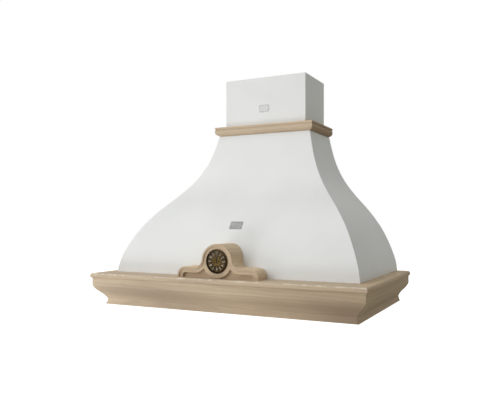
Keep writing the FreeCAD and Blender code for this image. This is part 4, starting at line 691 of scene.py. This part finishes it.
relief_place = dial_place @ Matrix.Translation((0, -(GROUND_MM + 0.1) * MM, 0))
filigree_mesh = bmesh.new()
for number in range(CURLS):
    wire(filigree_mesh, relief_place, curl(2 * math.pi * number / CURLS, number % 2 == 1), RELIEF_WIRE_MM)
for radius in WIRE_RINGS_MM:
    circle = [2 * math.pi * step / RING_STEPS for step in range(RING_STEPS + 1)]
    points = [(math.sin(a) * radius, math.cos(a) * radius) for a in circle]
    wire(filigree_mesh, relief_place, points, RING_WIRE_MM)
for minute in range(60):
    a = 2 * math.pi * minute / 60
    reach, thickness = (HOUR_MARK_MM, 0.5) if minute % 5 == 0 else (MINUTE_MARK_MM, 0.3)
    ends = [(math.sin(a) * radius, math.cos(a) * radius) for radius in reach]
    wire(filigree_mesh, relief_place, ends, thickness, sides=4)
piece("dial_filigree", filigree_mesh, gilt, "clock_insert")

# %% [markdown]
# ## The numerals
# Numbers are the only lettering on this hood. Each is a text object made solid and turned into a mesh, then
# stood on its place round the dial. Cream enamel is glass powder melted on metal: glossy and faintly
# uneven in tone.

# %% Numerals
NUMERAL_RADIUS_MM = 21.9
NUMERAL_SIZE_MM = 13.0
NARROW_ONE_DIGIT = 0.78
NARROW_TWO_DIGITS = 0.54
NUMERAL_RELIEF_MM = 0.10
NUMERAL_WEIGHT_MM = 0.12
ENAMEL_CLOUD_MM = 1.111


def fired_enamel(name, low, high):
    material, tree, shader, place = new_material(name, Roughness=0.22, IOR=1.5)
    cloud = add(tree, "TexNoise", {"Vector": place, "Scale": 1000 / ENAMEL_CLOUD_MM})
    tint = add(tree, "ValToRGB", {"Fac": cloud}, stops=((0.3, low), (0.7, high)))
    dents = add(tree, "Bump", {"Height": cloud, "Distance": 0.02 * MM, "Strength": 0.5})
    wire_up(shader, Base_Color=tint, Normal=dents)
    return material


cream_enamel = fired_enamel("cream_enamel", "#CDBFA4", "#EBDFC8")

numerals_mesh = bmesh.new()
for hour in range(1, 13):
    writing = bpy.data.curves.new("hour_%d" % hour, "FONT")
    writing.body = str(hour)
    writing.size = NUMERAL_SIZE_MM * MM
    writing.align_x = "CENTER"
    writing.align_y = "CENTER"
    writing.extrude = NUMERAL_RELIEF_MM * MM
    writing.offset = NUMERAL_WEIGHT_MM * MM
    writing.resolution_u = 3
    stamp = bpy.data.objects.new("hour_%d" % hour, writing)
    scene.collection.objects.link(stamp)
    bpy.context.view_layer.update()
    solved = stamp.evaluated_get(bpy.context.evaluated_depsgraph_get())
    digits = bpy.data.meshes.new_from_object(solved)
    outwards = Matrix.Translation((0, 0, NUMERAL_RADIUS_MM * MM))
    stand = Matrix.Rotation(2 * math.pi * hour / 12, 4, "Y") @ outwards
    narrow = NARROW_ONE_DIGIT if hour < 10 else NARROW_TWO_DIGITS
    upright = Matrix.Rotation(math.radians(90), 4, "X") @ Matrix.Diagonal((narrow, 1, 1, 1))
    digits.transform(relief_place @ stand @ upright)
    numerals_mesh.from_mesh(digits)
    bpy.data.objects.remove(stamp)
piece("dial_numerals", numerals_mesh, cream_enamel, "clock_insert")

# %% [markdown]
# ## The clock case reaches the bell
# The case is flat at the back, and the bell curves away behind it. A joiner closes that wedge with a piece
# of the same outline, scribed to the curve: the case's own back face is cut into small cells, carried
# backwards, and each point stops just short of where a line through it meets the bell. The faces are joined
# one by one in a fixed order, because the extrude operator lists them in another order at each run. The
# frame lacks this piece, so it is made here.

# %% Scribed back of the clock case
SCRIBE_GAP_MM = 0.5
CELL_MM = 14.0
CUTTING_PASSES = 4
FLATNESS_MM = 0.01
BACKWARDS = Vector((0, 1, 0))

case_mesh = bmesh.new()
case_mesh.from_mesh(nodes["clock_case"].data)
off_back = [f for f in case_mesh.faces
            if any(abs(v.co.y - case_back_y) >= FLATNESS_MM * MM for v in f.verts)]
bmesh.ops.delete(case_mesh, geom=off_back, context="FACES")
bmesh.ops.dissolve_limit(case_mesh, angle_limit=math.radians(1), verts=[], edges=case_mesh.edges)
bmesh.ops.triangulate(case_mesh, faces=case_mesh.faces)
for _ in range(CUTTING_PASSES):
    long_edges = [edge for edge in case_mesh.edges if edge.calc_length() > CELL_MM * MM]
    bmesh.ops.subdivide_edges(case_mesh, edges=long_edges, cuts=1, use_grid_fill=False)
    bmesh.ops.triangulate(case_mesh, faces=case_mesh.faces)
bell_mesh = bmesh.new()
bell_mesh.from_mesh(nodes["bell_front"].data)
bell_tree = BVHTree.FromBMesh(bell_mesh)
far_end = {}
for vertex in list(case_mesh.verts):
    met = bell_tree.ray_cast(vertex.co, BACKWARDS)[0]
    far_end[vertex] = case_mesh.verts.new((vertex.co.x, met.y - SCRIBE_GAP_MM * MM, vertex.co.z))
rim = [edge for edge in case_mesh.edges if edge.is_boundary]
for face in list(case_mesh.faces):
    case_mesh.faces.new([far_end[vertex] for vertex in face.verts])
for edge in rim:
    start, end = edge.verts
    case_mesh.faces.new((start, end, far_end[end], far_end[start]))
bell_mesh.free()
# The scribed back wears the same paler ash, painted light.
piece("clock_case_back", case_mesh, lit_shell_ash, "hood")

# %% [markdown]
# ## The two plates
# A small plate sits on the chimney and a larger one on the bell. Both are left bare: brushed metal with a
# raised border. The bell is curved, so its plate is laid on by casting a ray at the panel and leaning the
# plate to the slope that the ray finds.

# %% Shaping a plate
FAR_FRONT = -2
GLUE_LINE_MM = 0.05
SMALLEST_CORNER_MM = 0.3


def rounded_outline(width, height, corner, steps=5):
    """Points of a rounded rectangle, in millimetres, anticlockwise from the right."""
    points = []
    for quarter, (sx, sz) in enumerate(((1, 1), (-1, 1), (-1, -1), (1, -1))):
        middle = Vector((sx * (width / 2 - corner), sz * (height / 2 - corner)))
        for step in range(steps + 1):
            a = math.pi / 2 * (quarter + step / steps)
            points.append(middle + Vector((math.cos(a), math.sin(a))) * corner)
    return points


def stamped_plate(name, place, width, height, corner, profile, material):
    """A plate stepped in from its outline by (inset, forward) pairs in millimetres."""
    mesh = bmesh.new()
    rings = []
    for inset, forward in profile:
        turn = max(corner - inset, SMALLEST_CORNER_MM)
        outline = rounded_outline(width - 2 * inset, height - 2 * inset, turn)
        rings.append([mesh.verts.new(place @ (Vector((p.x, -forward, p.y)) * MM)) for p in outline])
    skin(mesh, rings)
    mesh.faces.new(rings[0])
    mesh.faces.new(rings[-1])
    piece(name, mesh, material, "hood")


def touch(node, x, z):
    """Where a line from the front meets a node, and the surface's own direction there."""
    mesh = bmesh.new()
    mesh.from_mesh(nodes[node].data)
    found, normal, _, _ = BVHTree.FromBMesh(mesh).ray_cast(Vector((x, FAR_FRONT, z)), BACKWARDS)
    mesh.free()
    return found, normal if normal.y < 0 else -normal


def laid_on(node, x_mm, z_mm):
    """A place on a node's front whose forward axis stands square to the surface."""
    found, normal = touch(node, x_mm * MM, z_mm * MM)
    lean = math.atan2(normal.z, -normal.y)
    return Matrix.Translation(found + normal * GLUE_LINE_MM * MM) @ Matrix.Rotation(-lean, 4, "X")


print("plates stand %.2f mm off the paint" % GLUE_LINE_MM)

# %% Plates
PLATE_PROFILE = [(0.0, 0.0), (0.0, 0.55), (0.3, 0.8), (1.6, 0.8), (2.0, 0.5)]
pale_plate = brushed("satin_nickel_plate", "#858583", "X", 0.42, "#A6A6A4")
grey_plate = brushed("satin_pewter_plate", "#646463", "X", 0.44, "#888887")
chimney_spot = laid_on("chimney_cover", x_mm=-2.0, z_mm=321.0)
bell_spot = laid_on("bell_front", x_mm=0.0, z_mm=-70.0)
stamped_plate("chimney_plate", chimney_spot, width=37, height=24, corner=6.0, profile=PLATE_PROFILE,
              material=pale_plate)
stamped_plate("bell_plate", bell_spot, width=42, height=27, corner=2.5, profile=PLATE_PROFILE,
              material=grey_plate)

# %% [markdown]
# ## Marks on the push buttons
# The five buttons are felt for from below. Here each has a small raised mark that a finger can count, one
# to five dots in a row. The photograph doesn't show the buttons, so the marks are a guess.

# %% Button dots
DOT_RADIUS_MM = 0.8
DOT_HEIGHT_MM = 0.25
DOT_SPACING_MM = 2.8
DOT_TIP_MM = 0.02

dome = [
    (DOT_TIP_MM, 0.0), (DOT_RADIUS_MM, 0.0),
    (DOT_RADIUS_MM * 0.8, DOT_HEIGHT_MM * 0.8), (DOT_TIP_MM, DOT_HEIGHT_MM),
]
dot_print = cast_plastic("printed_dots", "#C8CAC9", 0.45)
for number in range(1, 6):
    low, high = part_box("button_%d" % number)
    dots = bmesh.new()
    for index in range(number):
        across = (index - (number - 1) / 2) * DOT_SPACING_MM * MM
        centre = Vector(((low.x + high.x) / 2 + across, (low.y + high.y) / 2, low.z))
        facing_down = Matrix.Translation(centre) @ Matrix.Rotation(math.radians(90), 4, "X")
        turned(dots, facing_down, dome, steps=12)
    piece("button_%d_dots" % number, dots, dot_print, "button_%d_body" % number)

# %% [markdown]
# ## Light and background
# The photograph is a catalogue cut-out: even, soft light from the left, and pure white behind. A low key
# light and a high one farther round share the work, so that the sloping bell is as bright as the upright
# chimney. A smaller, weaker one below opens up the hollow of the cornice, and the sky fills the shadows.
# The strengths were fitted until the tones of the bell agreed with the picture. The white comes from what
# the camera sees of the sky and the floor, never from more light on the hood.

# %% The sky
FILL_LEVEL = 0.28
FILL_TINT = "#FEFFEE"
WHITE = "#FFFFFF"

world = bpy.data.worlds.new("studio")
scene.world = world
world.use_nodes = True
sky = world.node_tree
sky.nodes.clear()
rays = add(sky, "LightPath").node.outputs
seen = add(sky, "Math", {0: rays["Is Camera Ray"], 1: rays["Is Glossy Ray"]}, operation="MAXIMUM")
seen = add(sky, "Math", {0: seen, 1: rays["Is Transmission Ray"]}, operation="MAXIMUM")
fill = add(sky, "Background", {"Color": FILL_TINT, "Strength": FILL_LEVEL})
white = add(sky, "Background", {"Color": WHITE, "Strength": 1.0})
both = add(sky, "MixShader", {0: seen, 1: fill, 2: white})
add(sky, "OutputWorld", {"Surface": both})
print("sky nodes:", len(sky.nodes))

# %% Lamps
LAMP_DISTANCE = 7.0
LAMP_SIZE = 4.5
MIDDLE = Vector((0, -0.2, 0))


def soft_box(name, place, aim, size, power):
    lamp = bpy.data.objects.new(name, bpy.data.lights.new(name, "AREA"))
    scene.collection.objects.link(lamp)
    lamp.data.shape = "SQUARE"
    lamp.data.size = size
    lamp.data.energy = power
    lamp.location = place
    lamp.rotation_euler = (Vector(aim) - Vector(place)).to_track_quat("-Z", "Y").to_euler()
    print("%s: %.0f W" % (name, power))


def studio_lamp(name, left_degrees, up_degrees, power):
    """A large soft box far enough away to light the whole hood evenly."""
    left, up = math.radians(left_degrees), math.radians(up_degrees)
    way = Vector((-math.sin(left) * math.cos(up), -math.cos(left) * math.cos(up), math.sin(up)))
    soft_box(name, MIDDLE + way * LAMP_DISTANCE, MIDDLE, LAMP_SIZE, power)


studio_lamp("key_light", left_degrees=32, up_degrees=14, power=158)
studio_lamp("high_light", left_degrees=54, up_degrees=58, power=146)
soft_box("low_light", place=(-1.2, -2.6, -1.6), aim=(-0.1, -0.45, -0.27), size=1.4, power=29)

# %% [markdown]
# ## The floor
# The floor is plain pale paint for the light that falls on it, so it sends back no more than a real one
# would. Only to the camera does it add a white glow, which hides its edge against the sky.

# %% Floor
FLOOR_LEVEL = -1.92
FLOOR_SIZE = 40

bpy.ops.mesh.primitive_plane_add(size=FLOOR_SIZE, location=(0, 0, FLOOR_LEVEL))
floor = bpy.context.object
floor.name = "studio_floor"
floor_paint, floor_tree, floor_shader, _ = new_material("floor_paint", Roughness=0.9)
floor_shader.inputs["Base Color"].default_value = linear("#CFCFCD")
painted = floor_shader.outputs[0]
to_camera = add(floor_tree, "LightPath", output="Is Camera Ray")
glow = add(floor_tree, "Emission", {"Color": WHITE, "Strength": 1.0})
glowing = add(floor_tree, "AddShader", {0: painted, 1: glow})
shown = add(floor_tree, "MixShader", {0: to_camera, 1: painted, 2: glowing})
floor_tree.links.new(shown, floor_tree.nodes["Material Output"].inputs["Surface"])
floor.data.materials.append(floor_paint)
scene.view_settings.view_transform = "Standard"
print("floor at %.2f m" % FLOOR_LEVEL)
